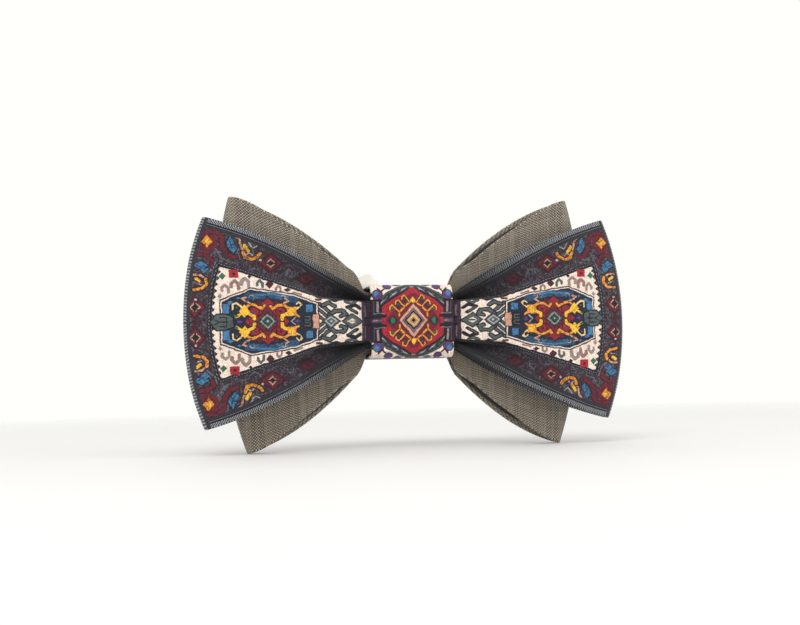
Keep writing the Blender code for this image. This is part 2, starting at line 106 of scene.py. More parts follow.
# ---- neck strap ----
STRAP_T = 0.8
STRAP_HALF_W = 7.5
CENTRE_RUN_Y = 7.6
HOOK_RUN_Y = 11.1
SECOND_RUN_Y = 13.5
THIRD_RUN_Y = 14.7
RETURN_RUN_Y = 16.1
BAR_Y = 17.5
ADJUSTER_RUN_Y = 20.0
STRAP_FOLD_X = 46.5
HOOK_FOLD_X = -40.0
HOOK_SLANT = math.radians(20.0)
HOOK_REACH = 8.0  # length past the hook's fold before its wrap starts
HOOK_BAR_S = 19.4  # middle of the hook's bar, from the fold
HOOK_BAR_R = 1.1
EYE_LOOP_X = -18.0
LOOP_START_X = 14.0
SLIDE_X = 22.0
SLIDE_BAR_R = 1.3
BEND_STEPS = 14
LEG_STEP = 3.0

# ---- weaves ----
PRINT_PITCH = 0.36
TAUPE_PITCH = 0.4
RIB_PITCH = 0.62
WARP_PITCH = 0.3
SELVEDGE_W = 0.75

# ---- hardware ----
METAL_ROUND = 0.22


def layer_shift():
    """The frame's Y of layer depth 0, read from where the CAD put the strap's centre run."""
    low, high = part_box("strap_centre_run")
    return (low.y + high.y) / 2.0 / MM - CENTRE_RUN_Y


SHIFT_Y = layer_shift()


# ======== nodes, and fields worked out by them


def plug(tree, value, socket):
    """Feed a field, a node's output, or a plain number or colour, into a node's input."""
    value = getattr(value, "socket", value)
    if isinstance(value, bpy.types.NodeSocket):
        tree.links.new(value, socket)
    else:
        socket.default_value = value


def add(tree, kind, inputs=(), **settings):
    """A new node; inputs pairs an input's name or place with what is plugged into it."""
    node = tree.nodes.new(f"ShaderNode{kind}")
    for name, value in settings.items():
        setattr(node, name, value)
    for name, value in dict(inputs).items():
        plug(tree, value, node.inputs[name])
    return node


class Field:
    """A number that changes over a surface."""

    def __init__(self, tree, socket):
        self.tree = tree
        self.socket = socket

    def math(self, operation, *others):
        """A math node on this field and up to two more values."""
        node = add(self.tree, "Math", enumerate((self, *others)), operation=operation)
        return Field(self.tree, node.outputs[0])

    __add__ = partialmethod(math, "ADD")
    __sub__ = partialmethod(math, "SUBTRACT")
    __mul__ = partialmethod(math, "MULTIPLY")
    __truediv__ = partialmethod(math, "DIVIDE")
    __abs__ = partialmethod(math, "ABSOLUTE")
    over = partialmethod(math, "MAXIMUM")  # of two distances: what both shapes cover
    under = partialmethod(math, "MINIMUM")  # of two distances: both shapes joined

    def clamp(self, low=0.0, high=1.0):
        """Held between two values."""
        return self.over(low).under(high)

    def sine(self, period):
        """A sine wave of the field."""
        return (self * (2.0 * math.pi / period)).math("SINE")

    def fade(self, low, high):
        """0 at low and 1 at high, straight between."""
        return ((self - low) / (high - low)).clamp()


def split(tree, kind, value):
    """The three parts of a vector (XYZ) or a Color, as fields."""
    return [Field(tree, socket) for socket in add(tree, f"Separate{kind}", {0: value}).outputs]


def blend_colours(tree, low, high, factor):
    """Between two colours by a field."""
    return add(tree, "Mix", {"Factor": factor.clamp(), 6: low, 7: high}, data_type="RGBA").outputs[2]


# ======== flat shapes, as distances from their edges


def length(x, z):
    """The length of a flat vector."""
    return (x * x + z * z).math("SQRT")


def box(x, z, cx, cz, half_x, half_z):
    """Distance from an upright rectangle, negative inside."""
    return (abs(x - cx) - half_x).over(abs(z - cz) - half_z)


def diamond(x, z, cx, cz, half_x, half_z):
    """Distance from a rectangle on its corner."""
    sides = abs(x - cx) / half_x + abs(z - cz) / half_z - 1.0
    return sides * half_x.under(half_z) * 0.75


def diamond_line(x, z, cx, cz, half_x, half_z, width):
    """Distance from a diamond drawn as a line."""
    return abs(diamond(x, z, cx, cz, half_x, half_z)) - width * 0.5


def disc(x, z, cx, cz, radius):
    """Distance from a disc."""
    return length(x - cx, z - cz) - radius


def ring(x, z, cx, cz, radius, width):
    """Distance from a circle drawn as a line."""
    return abs(disc(x, z, cx, cz, radius)) - width * 0.5


def arc(x, z, cx, cz, radius, width, turn):
    """Distance from the half of a ring that faces the angle turn, in radians."""
    dx, dz = x - cx, z - cz
    behind = dx * turn.math("COSINE") + dz * turn.math("SINE")
    return (abs(length(dx, dz) - radius) - width * 0.5).over(behind * -1.0)


def line(x, z, ax, az, bx, bz, width):
    """Distance from a straight stroke with round ends."""
    dx, dz, lx, lz = x - ax, z - az, bx - ax, bz - az
    along = ((dx * lx + dz * lz) / (lx * lx + lz * lz)).clamp()
    return length(dx - lx * along, dz - lz * along) - width * 0.5


def side(x, z, ax, az, bx, bz):
    """Distance past the left side of the line from a to b."""
    lx, lz = bx - ax, bz - az
    return ((z - az) * lx - (x - ax) * lz) / length(lx, lz)


def new_group(name, inputs, result_kind):
    """An empty node group, with its inputs as fields, and its result's socket."""
    group = bpy.data.node_groups.new(name, "ShaderNodeTree")
    for label, kind in inputs:
        group.interface.new_socket(label, in_out="INPUT", socket_type=f"NodeSocket{kind}")
    group.interface.new_socket("result", in_out="OUTPUT", socket_type=f"NodeSocket{result_kind}")
    entry = group.nodes.new("NodeGroupInput")
    leave = group.nodes.new("NodeGroupOutput")
    return group, [Field(group, socket) for socket in entry.outputs[:-1]], leave.inputs[0]


def shape_group(function):
    """A node group that works out one of the shape functions above."""
    inputs = [(name, "Float") for name in inspect.signature(function).parameters]
    group, fields, result = new_group(function.__name__, inputs, "Float")
    plug(group, function(*fields), result)
    return group


def paint_group():
    """A node group that lays a colour where a distance is below zero, with a soft edge."""
    inputs = [("below", "Color"), ("paint", "Color"), ("distance", "Float"), ("blur", "Float")]
    group, (below, paint, distance, blur), result = new_group("paint", inputs, "Color")
    plug(group, blend_colours(group, below, paint, distance / blur * -1.0 + 0.5), result)
    return group


SHAPES = {shape.__name__: shape_group(shape)
          for shape in (box, diamond, diamond_line, disc, ring, arc, line, side)}
PAINT = paint_group()


def srgb(*display):
    """A scene colour from three display values of 0 to 255."""
    return tuple(((c / 255.0 + 0.055) / 1.055) ** 2.4 for c in display) + (1.0,)


DISPLAY_COLOURS = {
    "ground": (56, 50, 58),
    "charcoal": (50, 49, 55),
    "dark": (32, 30, 38),
    "black": (15, 14, 17),
    "pale": (186, 184, 184),
    "silver": (156, 158, 162),
    "grey": (112, 116, 124),
    "ivory": (236, 217, 202),
    "cream": (238, 210, 148),
    "maroon": (110, 36, 48),
    "dull_maroon": (76, 34, 46),
    "plum": (78, 58, 78),
    "crimson": (164, 38, 52),
    "red": (152, 38, 50),
    "orange": (228, 148, 58),
    "yellow": (243, 188, 58),
    "tan": (204, 154, 130),
    "brown": (142, 112, 106),
    "mauve": (148, 130, 124),
    "blue": (70, 122, 162),
    "deep_blue": (46, 80, 114),
    "navy": (34, 42, 60),
    "teal": (80, 92, 92),
    "green": (48, 112, 84),
    "purple": (90, 64, 116),
}
COLOURS = {name: srgb(*display) for name, display in DISPLAY_COLOURS.items()}


class Painter:
    """Lays flat shapes one over another, in millimetres of x and z."""

    def __init__(self, tree, x, z, ground):
        self.tree = tree
        self.x = x
        self.z = z
        self.colour = COLOURS[ground]

    def shape(self, kind, *numbers):
        """Distance from one of the shapes in SHAPES."""
        inputs = enumerate((self.x, self.z, *numbers))
        return Field(self.tree, add(self.tree, "Group", inputs, node_tree=SHAPES[kind]).outputs[0])

    def stroke(self, width, *path):
        """Distance from a bent line of even width."""
        pieces = [self.shape("line", *path[i:i + 4], width) for i in range(0, len(path) - 2, 2)]
        return reduce(Field.under, pieces)

    def polygon(self, *path):
        """Distance from a shape without hollows, whose sides run clockwise along the path."""
        sides = [self.shape("side", *path[i:i + 4]) for i in range(0, len(path) - 2, 2)]
        return reduce(Field.over, sides)

    def paint(self, colour, distance, blur=0.14):
        """Lay a colour where the distance is below zero."""
        inputs = enumerate((self.colour, COLOURS[colour], distance, blur))
        self.colour = add(self.tree, "Group", inputs, node_tree=PAINT).outputs[0]

    def marks(self, table):
        """Paint a list of (colour, dark outline's width if any, kind, and each mark's numbers)."""
        for colour, *rest in table:
            outline = 0.0 if isinstance(rest[0], str) else rest.pop(0)
            kind, *marks = rest
            for numbers in marks:
                drawn = kind in ("stroke", "polygon")
                distance = getattr(self, kind)(*numbers) if drawn else self.shape(kind, *numbers)
                if outline:
                    self.paint("dark", distance - outline)
                self.paint(colour, distance)


# ======== grain, threads and finishes


def attribute(tree, name):
    """The three numbers of a vector kept on the mesh."""
    return split(tree, "XYZ", add(tree, "Attribute", attribute_name=name).outputs["Vector"])


def grain(tree, per_mm, *, seed, detail=2.0):
    """Three noise fields round 0.5, per_mm features to the millimetre, fixed to the piece."""
    place = add(tree, "TexCoord").outputs["Object"]
    inputs = {"Vector": place, "Scale": per_mm / MM, "Detail": detail, "W": seed}
    return split(tree, "Color", add(tree, "TexNoise", inputs, noise_dimensions="4D").outputs["Color"])


def chance(value):
    """A steady random number for each whole number."""
    node = add(value.tree, "TexWhiteNoise", {"W": value}, noise_dimensions="1D")
    return Field(value.tree, node.outputs["Value"])


def plain_weave(along, across, pitch):
    """A plain weave: its height, 1 where the lengthwise thread is on top, and each thread's random tone."""
    u, w = along / pitch, across / pitch
    column, row = u.math("FLOOR"), w.math("FLOOR")
    lengthwise = (((column + row) * 0.5).math("FRACT") * 2.0).clamp()
    crosswise = lengthwise * -1.0 + 1.0
    profile_u, profile_w = (abs((field * math.pi).math("SINE")) for field in (u, w))
    height = lengthwise * profile_w.math("SQRT") * (profile_u * 0.4 + 0.6)
    height = height + crosswise * profile_u.math("SQRT") * (profile_w * 0.4 + 0.6)
    return height, lengthwise, lengthwise * chance(row) + crosswise * chance(column + 0.37)


def brighten(tree, colour, factor):
    """A colour times a field."""
    return add(tree, "VectorMath", {0: colour, "Scale": factor}, operation="SCALE").outputs[0]


def new_material(name):
    """An empty node material and its tree."""
    mat = bpy.data.materials.new(name)
    mat.use_nodes = True
    return mat, mat.node_tree


def finish(tree, height, depth, inputs):
    """Plug the shader's inputs, and raise the surface by a field, depth millimetres at 1."""
    raised = add(tree, "Bump", {"Distance": depth * MM, "Height": height}).outputs[0]
    for name, value in {**inputs, "Normal": raised}.items():
        plug(tree, value, tree.nodes["Principled BSDF"].inputs[name])


def finish_cloth(tree, colour, roughness, sheen, height, depth):
    """Finish cloth, with the soft glow of its fibre ends."""
    finish(tree, height, depth, {"Base Color": colour, "Roughness": roughness.clamp(),
                                 "Specular IOR Level": 0.25, "Sheen Weight": sheen, "Sheen Roughness": 0.5})


# ======== the carpet print: marks on one quarter


def tick(cx, cz, size, lean):
    """The path of a small open hook."""
    left, right = cx - size * lean, cx + size * lean
    return (left, cz - size, left, cz + size * 0.2, cx, cz + size, right, cz + size * 0.2,
            cx + size * lean * 0.9, cz - size * 0.4)


# Each entry is a colour, the width of its dark outline if it has one, a kind of shape, and the numbers of
# each mark: a stroke's are its width and its path's x and z, a polygon's are its path, and the others'
# are a centre and sizes, as their functions say.
BORDER_MARKS = [
    # corner scroll round a star
    ("maroon", "ring", (52.8, 21.8, 2, 1.7)),
    ("dull_maroon", "disc", (52.8, 21.8, 1.5)),
    ("maroon", 0.2, "stroke", (1.1, 53.4, 24.5, 50.4, 24.6, 48.9, 23.2, 48.7, 20.3, 47.4, 18.2, 45.4, 17.6),
     (1, 55.4, 18.5, 52.9, 18.1, 51.5, 16.9, 51.5, 15.4)),
    ("grey", "stroke", (0.24, 50.3, 19.8, 48.8, 17.2, 46.9, 16.5), (0.24, 50.4, 16.6, 51.2, 14.4, 53, 13)),
    ("orange", "diamond", (52.7, 21.9, 1.5, 1.7)),
    ("orange", "box", (52.7, 21.9, 0.85, 0.85)),
    ("yellow", "diamond", (52.5, 22, 0.7, 0.8)),
    ("maroon", "disc", (53.3, 20.9, 0.35)),
    # top border
    ("blue", 0.25, "diamond", (46.7, 21.3, 1.1, 2.2)),
    ("blue", 0.2, "diamond", (46, 19.9, 1, 1.3)),
    ("deep_blue", "stroke", (0.35, 46.9, 22, 46.3, 19.9)),
    ("tan", 0.3, "stroke", (0.62, 45.2, 23.1, 44.5, 22.6, 44.1, 20.9, 43.4, 18.6)),
    ("orange", 0.3, "stroke", (0.85, 43.5, 18.9, 43, 17.4, 41.4, 16.9, 39.8, 17.6, 39.1, 18.6)),
    ("yellow", 0.2, "stroke", (0.9, 43.1, 20.6, 42.2, 19.1)),
    ("pale", "stroke", (0.28, 42.8, 18.1, 41.9, 18.5, 41.2, 18),
     (0.24, 42.6, 22.3, 38.8, 21.3, 41, 19.9, 42.6, 22.3)),
    ("maroon", "disc", (41.9, 18, 0.4)),
    ("grey", "stroke", (0.3, 41.8, 21.5, 40.6, 21.1)),
    ("dull_maroon", "diamond", (36.4, 15.9, 4.2, 3)),
    ("maroon", 0.2, "diamond", (36.4, 15.9, 2.9, 2.3)),
    ("dark", "diamond", (36.4, 15.9, 1.7, 1.4)),
    ("tan", "diamond_line", (36.4, 15.9, 1.2, 1.1, 0.34)),
    ("dark", "box", (36.4, 15.9, 1.4, 0.22)),
    ("pale", "disc", (39, 16.7, 0.34)),
    ("dull_maroon", 0.2, "diamond", (27, 11.9, 2.9, 1.7)),
    ("maroon", "diamond_line", (27, 11.9, 1.3, 0.8, 0.4)),
    ("grey", "stroke", (0.24, *tick(31.6, 13.4, 0.9, 0.9)), (0.2, *tick(21, 8.9, 0.7, -0.9)),
     (0.22, *tick(32.6, 17, 0.6, -0.9))),
    # outer border
    ("blue", 0.25, "diamond", (54.4, 15.5, 1.9, 1.2)),
    ("blue", 0.2, "diamond", (53.5, 14.3, 1.2, 1.1)),
    ("deep_blue", "stroke", (0.35, 55.4, 15.4, 53.6, 14.7)),
    ("tan", 0.3, "stroke", (0.55, 57.2, 14.4, 56.4, 13, 54.4, 12.8, 53.1, 11.8)),
    ("orange", 0.3, "stroke", (0.75, 53.1, 11.8, 52.9, 10.4, 54, 9.2, 56.1, 8.9)),
    ("yellow", 0.2, "stroke", (0.75, 55.6, 11.9, 54.7, 11.2)),
    ("pale", "stroke", (0.26, 55.2, 10.5, 54.3, 10.2)),
    ("maroon", "disc", (54.2, 11, 0.36)),
    ("grey", "stroke", (0.24, 58.4, 13, 58.9, 9.4, 57, 10.8, 58.4, 13)),
    ("dull_maroon", "diamond", (55.9, 4.1, 3, 3.4)),
    ("maroon", 0.2, "diamond", (55.9, 4.1, 2.4, 2.5)),
    ("dark", "diamond", (55.9, 4.1, 1.7, 1.7)),
    ("tan", "diamond_line", (55.9, 4.1, 1.3, 1.3, 0.34)),
    ("dark", "box", (55.9, 4.1, 0.22, 1.5)),
    ("pale", "disc", (55.8, 6.1, 0.32)),
    ("dull_maroon", "diamond", (56, 0, 1.6, 0.8)),
]

FIELD_MARKS = [
    # outer part, beyond the medallion's shoulders
    ("crimson", "box", (46, 13, 1.25, 1.1)),
    ("dark", "diamond", (46, 13, 0.5, 0.5), (42, 12.2, 0.6, 0.55)),
    ("green", 0.15, "diamond", (48.9, 12.4, 0.75, 0.8)),
    ("dull_maroon", 0.2, "diamond", (36.9, 10.1, 0.9, 0.95)),
    ("dull_maroon", 0.1, "diamond", (32.2, 8.6, 0.8, 0.5)),
    ("mauve", "stroke", (0.8, *tick(48.3, 9, 1, 0.85))),
    ("brown", "stroke", (0.95, *tick(45.8, 10, 1.1, 0.85)), (0.6, *tick(34.6, 8.9, 0.7, 0.9)),
     (0.5, 30.6, 7.9, 28.6, 7.3)),
    ("mauve", "stroke", (0.95, *tick(43.2, 10.6, 1.1, 0.85))),
    ("teal", "stroke", (0.75, *tick(39.4, 10.2, 0.9, 0.85))),
    ("mauve", "diamond", (49.6, 7, 0.6, 0.8)),
    # inner strip: a curled cross with hatched arms, and a leaf
    ("teal", 0.3, "stroke", (0.5, 26.4, 5, 23.8, 4.8, 21.2, 2.4), (0.45, 26.4, 3.7, 24.3, 3.5, 22, 1.4),
     (0.4, 26.2, 2.3, 24.8, 2.1, 23, 0.6)),
    ("teal", 0.34, "stroke", (0.6, 21.4, 1.7, 20.1, 2.9, 18.2, 2.9, 17.6, 1.8, 18.7, 1.4),
     (0.6, 22.9, 4.4, 21.4, 5.2, 20.2, 4.2)),
    ("teal", 0.3, "diamond", (21, 0, 1.9, 1.8)),
    ("pale", "diamond_line", (21, 0, 1.3, 1.2, 0.22)),
    ("pale", "diamond", (21, 0, 0.35, 0.35)),
    ("dark", "diamond", (25.3, 0, 0.9, 0.95), (19.9, 5.9, 1.6, 0.6)),
    ("dull_maroon", "box", (24, 6, 0.9, 0.3)),
    ("teal", 0.2, "stroke", (0.4, 17.6, 5.5, 16.2, 4.9, 15.2, 5.4)),
    ("teal", 0.34, "polygon", (13.7, 0, 16.2, 1.9, 18.2, 0, 16.2, -1.9, 13.7, 0)),
    ("ivory", "polygon", (14.9, 0, 16.2, 0.8, 17.2, 0, 16.2, -0.8, 14.9, 0)),
    ("dark", "box", (15.9, 0, 0.9, 0.16)),
    ("dark", "stroke", (0.95, 15, 2.3, 17.2, 3.9, 15.4, 4.5, 14.1, 3.6)),
    ("teal", "stroke", (0.3, 15.3, 2.5, 17, 3.8)),
    ("plum", 0.2, "box", (12.2, 0, 1.2, 5.4)),
    ("mauve", "box", (12.6, 3, 0.16, 1.6)),
    ("dark", "box", (12.1, 1, 0.9, 0.16)),
]

MEDALLION = [24.3, 0, 24.3, 4.9, 30.5, 7.2, 41.8, 8.9, 49.4, 5.8, 49.4, 0]

MEDALLION_MARKS = [
    ("deep_blue", "stroke", (1.7, 42.6, 6.9, 36, 7.1, 30.2, 5.8)),
    ("blue", "stroke", (0.4, 41.4, 7.1, 36, 7.4, 32, 6.6)),
    ("blue", "box", (48.1, 3.6, 0.8, 1.25), (26.6, 3.6, 0.85, 0.95)),
    ("blue", "diamond", (47, 5.2, 1, 0.5)),
    # crimson body and golden latch hooks
    ("red", 0.3, "diamond", (37.5, 0, 5.6, 6.4)),
    ("red", 0.25, "disc", (40.9, 2.6, 1.15), (34.1, 2.7, 1.15)),
    ("red", "box", (37.5, 3.6, 1.6, 1.7)),
    ("maroon", "diamond", (37.5, 0, 3.4, 3.9)),
    ("purple", "disc", (40.9, 2.6, 0.36)),
    ("dark", "disc", (34.1, 2.7, 0.36)),
    ("orange", 0.25, "stroke", (0.68, 43.3, 3.4, 42, 4.7, 40.3, 4.3, 38.8, 3.4, 38.3, 4.2),
     (0.68, 31.9, 3.5, 33.3, 4.5, 34.9, 4.2, 36.2, 3.4, 36.7, 4.2)),
    ("tan", 0.2, "stroke", (0.45, 42, 4.9, 43.3, 5.6, 44, 6.2, 43, 6.5),
     (0.45, 33.3, 4.8, 32, 5.6, 33, 6.2)),
    ("cream", 0.25, "stroke", (0.42, 43.4, 2.8, 44.4, 4.2, 45.4, 5, 46.4, 4.7, 46.4, 3.3),
     (0.42, 31.2, 2.8, 29.6, 3.5, 28.6, 4.7, 29.3, 5.2, 29.9, 4.6)),
    ("yellow", 0.25, "stroke", (0.6, 43.4, 2.8, 45.5, 1.3), (0.85, 43.4, 2.8, 41, 1.5, 40.9, 0.6)),
    ("orange", 0.25, "stroke", (0.6, 31.2, 2.6, 29.4, 1.3)),
    ("yellow", 0.25, "stroke", (0.85, 31.2, 2.6, 33.7, 1.5, 33.7, 0.6)),
    ("yellow", "diamond", (43.4, 2.8, 1.4, 1.7)),
    ("orange", "box", (31.2, 2.7, 1.15, 1.2)),
    ("yellow", "diamond", (31.2, 2.7, 0.9, 1.3)),
    ("purple", "diamond", (44.6, 0, 0.8, 0.6), (29.6, 0, 0.8, 0.6)),
    ("pale", "stroke", (0.22, 31.4, 0, 30.3, 1)),
    ("crimson", 0.15, "diamond", (42.6, 0, 0.7, 0.8)),
    # small knots caught inside the hooks' ends
    ("maroon", 0.2, "disc", (39.7, 5, 0.6), (35.3, 5.1, 0.55)),
    ("dark", "disc", (39.7, 5, 0.22), (35.3, 5.1, 0.22), (45.4, 3.8, 0.5), (29.4, 4.3, 0.45)),
    ("brown", "disc", (45.4, 3.8, 0.2)),
    ("pale", 0.1, "arc", (41.6, 6.6, 0.55, 0.22, math.radians(70)),
     (33.4, 6.5, 0.5, 0.22, math.radians(110))),
    ("green", 0.12, "diamond", (45.6, 1.6, 0.5, 0.35)),
    ("dark", "stroke", (0.3, 40, 1.2, 38.4, 2.8), (0.3, 35, 1.2, 36.6, 2.8)),
    # rosette
    ("teal", 0.3, "diamond", (37.5, 0, 2.3, 2.2)),
    ("teal", "box", (37.5, 0, 1.7, 1), (37.5, 0, 1, 1.6)),
    ("pale", "diamond_line", (37.5, 0, 1.75, 1.7, 0.16)),
    ("dark", "diamond", (37.5, 0, 1.2, 1.15)),
    ("green", "diamond", (37.5, 0, 0.85, 0.8)),
    ("dark", "disc", (37.5, 0, 0.45)),
    ("pale", "disc", (37.5, 0, 0.28)),
    # dark curls on the ground
    ("deep_blue", "arc", (42.9, 6.1, 0.7, 0.3, math.radians(200))),
    ("grey", "arc", (40.6, 6, 0.6, 0.2, math.radians(80)), (34.6, 5.9, 0.6, 0.2, math.radians(100))),
    ("blue", "diamond", (44.9, 6.4, 0.6, 0.3)),
    # stepped leaf at the outer end and the block at the inner end
    ("teal", 0.35, "polygon",
     (46.3, 1.2, 48.4, 2.1, 50.3, 2.1, 52.2, 0, 50.3, -2.1, 48.4, -2.1, 46.3, -1.2, 46.3, 1.2)),
    ("dark", "stroke", (0.32, 49.6, 1.2, 48, 1.2, 48, -0.2), (0.3, 50.9, 0.6, 50, 0, 47.4, 0)),
    ("dark", 0.25, "box", (26.9, 0, 1.1, 1.7)),
    ("teal", "stroke", (0.34, 27.8, 1.3, 26.4, 1.3, 26.4, 0.4, 27.6, 0.4)),
    ("tan", 0.2, "box", (24.8, 0, 0.8, 1.9)),
]

KNOT_OUTLINE = [0, 8.7, 2.6, 8.7, 6.3, 5.7, 8.9, 4.3, 8.9, 0]

KNOT_MARKS = [
    ("purple", 0.25, "disc", (9.9, 7, 1.3), (7, 9.7, 1)),
    ("blue", "diamond", (10.3, 7.4, 0.9, 0.9)),
    ("deep_blue", "diamond", (4.2, 10.4, 1.6, 0.8)),
    ("dull_maroon", "stroke", (0.5, 8, 8.6, 8.9, 7.7, 9.8, 8.9)),
]

KNOT_MIDDLE_MARKS = [
    ("maroon", "diamond", (0, 0, 8.2, 8.2)),
    ("crimson", "diamond", (0, 8.2, 1.6, 1)),
    ("dark", "box", (10.4, 2.6, 1.5, 3.3)),
    ("mauve", "box", (9.9, 3.8, 0.3, 1.5)),
    ("plum", "box", (10.9, 3.6, 0.2, 1.7)),
    ("dark", "stroke", (0.85, 11, 1.3, 7.8, 1.3)),
    ("grey", "stroke", (0.22, 11, 1.9, 8, 1.9)),
    ("plum", "box", (9.8, 0, 1.5, 0.62)),
    ("mauve", "box", (10, 0, 1.1, 0.16)),
    ("crimson", "disc", (8.2, 0, 0.55)),
    ("dull_maroon", "diamond", (5.7, 0, 1.7, 1.5)),
    ("green", 0.2, "diamond", (5.9, 0, 0.8, 1)),
    ("green", "box", (5.7, 0, 0.4, 0.6)),
    ("dark", "disc", (6.6, 0, 0.26)),
    # small dark squares caught inside the hooks
    ("plum", 0.25, "diamond", (2.6, 5.7, 0.7, 0.7), (4.3, 4.2, 0.7, 0.7)),
    ("green", 0.2, "diamond", (5.9, 3.2, 0.4, 0.4)),
    # a golden diamond whose sides carry latch hooks
    ("orange", 0.16, "stroke", (0.5, 0, 5.5, 2.2, 3.9, 4, 2.2, 4, 1.2),
     (0.36, 1, 4.9, 2.4, 6.9, 3.2, 6.4, 3.1, 5.8), (0.36, 2.5, 3.8, 4.2, 5.5, 4.9, 5, 4.9, 4.4),
     (0.36, 4, 2.3, 5.9, 4.1, 6.6, 3.6, 6.6, 2.9)),
    ("yellow", "diamond", (0, 5.5, 0.7, 0.9)),
    ("tan", "diamond", (0, 0, 3.9, 4.6)),
    ("mauve", "diamond", (0, 0, 3.2, 3.6)),
    ("plum", "diamond_line", (0, 0, 3, 3.1, 0.26)),
    ("mauve", "diamond", (0, 0, 2.6, 2.7)),
    ("black", "diamond_line", (0, 0, 2.4, 2.4, 0.42)),
    ("tan", "diamond", (0, 0, 1.8, 1.8)),
    ("yellow", "diamond_line", (0, 0, 1.35, 1.35, 0.28)),
    ("brown", "diamond_line", (0, 0, 1, 1, 0.24)),
    ("black", "diamond", (0, 0, 0.6, 0.6)),
]


def dashes(position, other, pitch, slope):
    """Slanting dashes along a band: a distance-like wave."""
    return (position + other * slope).sine(pitch) * (pitch * 0.22)


def print_grain(tree):
    """The fine unevenness of the printed cloth."""
    return grain(tree, 2.6, detail=3.0, seed=2.0)


def paint_wing(painter):
    """The printed wing: mottled ground, borders, pale field, medallion and the bands round it all."""
    tree, d, z = painter.tree, painter.x, painter.z
    from_fold, from_edge, _ = attribute(tree, "edge")
    painter.paint("dull_maroon", (print_grain(tree)[0] * -1.0 + 0.56) * 2.0, blur=0.5)
    painter.paint("grey", (grain(tree, 3.0, seed=7.0)[0] * -1.0 + 0.665) * 4.0, blur=0.3)
    wander = grain(tree, 0.85, detail=1.0, seed=21.0)
    painter.paint("grey", abs(wander[0] - 0.5) * 2.0 - 0.03)
    painter.marks(BORDER_MARKS)
    outlines = abs(wander[1] - 0.5) * 2.0 - 0.04
    painter.paint("dark", outlines)
    # the pale field: straight long sides, a bowed and toothed outer end
    strip = (d * 0.105 + 3.85).over(d * 0.338 - 1.7)
    outer = z * z * -0.0094 + 51.7
    field = (z - strip).over(d - outer)
    painter.paint("dark", field - 1.15)
    painter.paint("grey", (abs(field - 0.75) - 0.14).over(dashes(d, z, 0.9, 1.0)))
    painter.paint("ivory", field)
    teeth = abs((z / 1.7).math("FRACT") - 0.5) * 1.9 - 0.15
    painter.paint("dark", (outer - teeth - d).over(field))
    painter.marks(FIELD_MARKS)
    medallion = painter.polygon(*MEDALLION)
    painter.paint("dark", medallion - 0.35)
    painter.paint("navy", medallion + 0.3)
    painter.paint("ivory", abs(medallion + 0.15) - 0.14)
    painter.marks(MEDALLION_MARKS)
    painter.paint("dark", (outlines + 0.03).over(medallion + 0.5))
    # bands along the long edges and the outer fold
    painter.paint("charcoal", from_edge - 3.0)
    painter.paint("dark", from_edge - 2.0)
    painter.paint("grey", abs(from_edge - 1.75) - 0.1)
    painter.paint("dark", from_edge - 1.4)
    painter.paint("silver", (from_edge - 1.1).over(dashes(d + z * 0.5, from_edge, 0.8, 1.3)))
    painter.paint("charcoal", from_fold - 1.3)
    painter.paint("silver", (from_fold - 0.4).over(dashes(z, from_fold, 0.8, 0.6)))


def paint_knot(painter):
    """The printed knot band: corners, a braided outline and a latch-hook diamond on crimson."""
    x, z = painter.x, painter.z
    painter.marks(KNOT_MARKS)
    outline = painter.polygon(*KNOT_OUTLINE)
    painter.paint("charcoal", outline - 2.2)
    painter.paint("teal", abs(outline - 1.85) - 0.12)
    painter.paint("silver", (abs(outline - 0.7) - 0.2).over(dashes(x, z, 1.5, 0.9)))
    painter.paint("teal", (abs(outline - 1.2) - 0.14).over(dashes(x, z, 1.9, -0.9)))
    painter.paint("dark", outline - 0.2)
    painter.paint("crimson", outline + 0.2)
    painter.marks(KNOT_MIDDLE_MARKS)


# ======== materials


def printed_cloth(tree, ground, paint):
    """The carpet print on a fine satin-like weave; paint(painter) lays the marks. Over them go painted shade
    in the valleys beside the raised strip and a painted highlight on each thread's crown.
    """
    x, z, shade = attribute(tree, "place")
    along, across, _ = attribute(tree, "threads")
    wander = grain(tree, 0.7, seed=1.0)
    fine = print_grain(tree)
    fleck = grain(tree, 4.2, detail=1.0, seed=3.0)
    wavy_x, wavy_z = (abs(place) + (drift - 0.5) * 0.7 for place, drift in zip((x, z), wander))
    painter = Painter(tree, wavy_x, wavy_z, ground)
    paint(painter)
    # Painted shade: near-black laid over the print where the place attribute's third number says a valley
    # lies.
    painter.paint("black", shade * -0.94 + 0.5, blur=1.0)
    height, _, tone = plain_weave(along, across, PRINT_PITCH)
    # Random tone of threads and print, and a painted highlight: the weave's raised crowns are made up to a
    # fifth lighter.
    worn = (tone - 0.5) * 0.2 + (fine[2] - 0.5) * 1.2 + (fleck[0] - 0.5) * 1.1 + height * 0.2 + 0.85
    colour = brighten(tree, painter.colour, worn)
    finish_cloth(tree, colour, (fine[1] - 0.5) * 0.2 + 0.74, 0.12, height + fine[0] * 0.5, 0.05)


def taupe_cloth(tree):
    """A coarse plain weave of light and dark threads, with painted shade in the gaps between them."""
    wander = grain(tree, 0.5, seed=4.0)
    fine = grain(tree, 4.0, detail=3.0, seed=5.0)
    wavy = (place + (drift - 0.5) * 0.3 for place, drift in zip(attribute(tree, "threads")[:2], wander))
    height, lengthwise, tone = plain_weave(*wavy, TAUPE_PITCH)
    lightness = lengthwise * 0.7 + (tone - 0.5) * 0.5 + (fine[0] - 0.5) * 0.8 + 0.12
    thread = blend_colours(tree, srgb(84, 77, 70), srgb(190, 178, 160), lightness)
    # Painted shade: where the weave dips between threads the colour goes to near black.
    colour = blend_colours(tree, srgb(34, 30, 28), thread, height.fade(0.15, 0.7))
    colour = brighten(tree, colour, (wander[2] - 0.5) * 0.3 + 1.0)
    finish_cloth(tree, colour, (fine[2] - 0.5) * 0.2 + 0.8, 0.15, height + fine[1] * 0.3, 0.12)


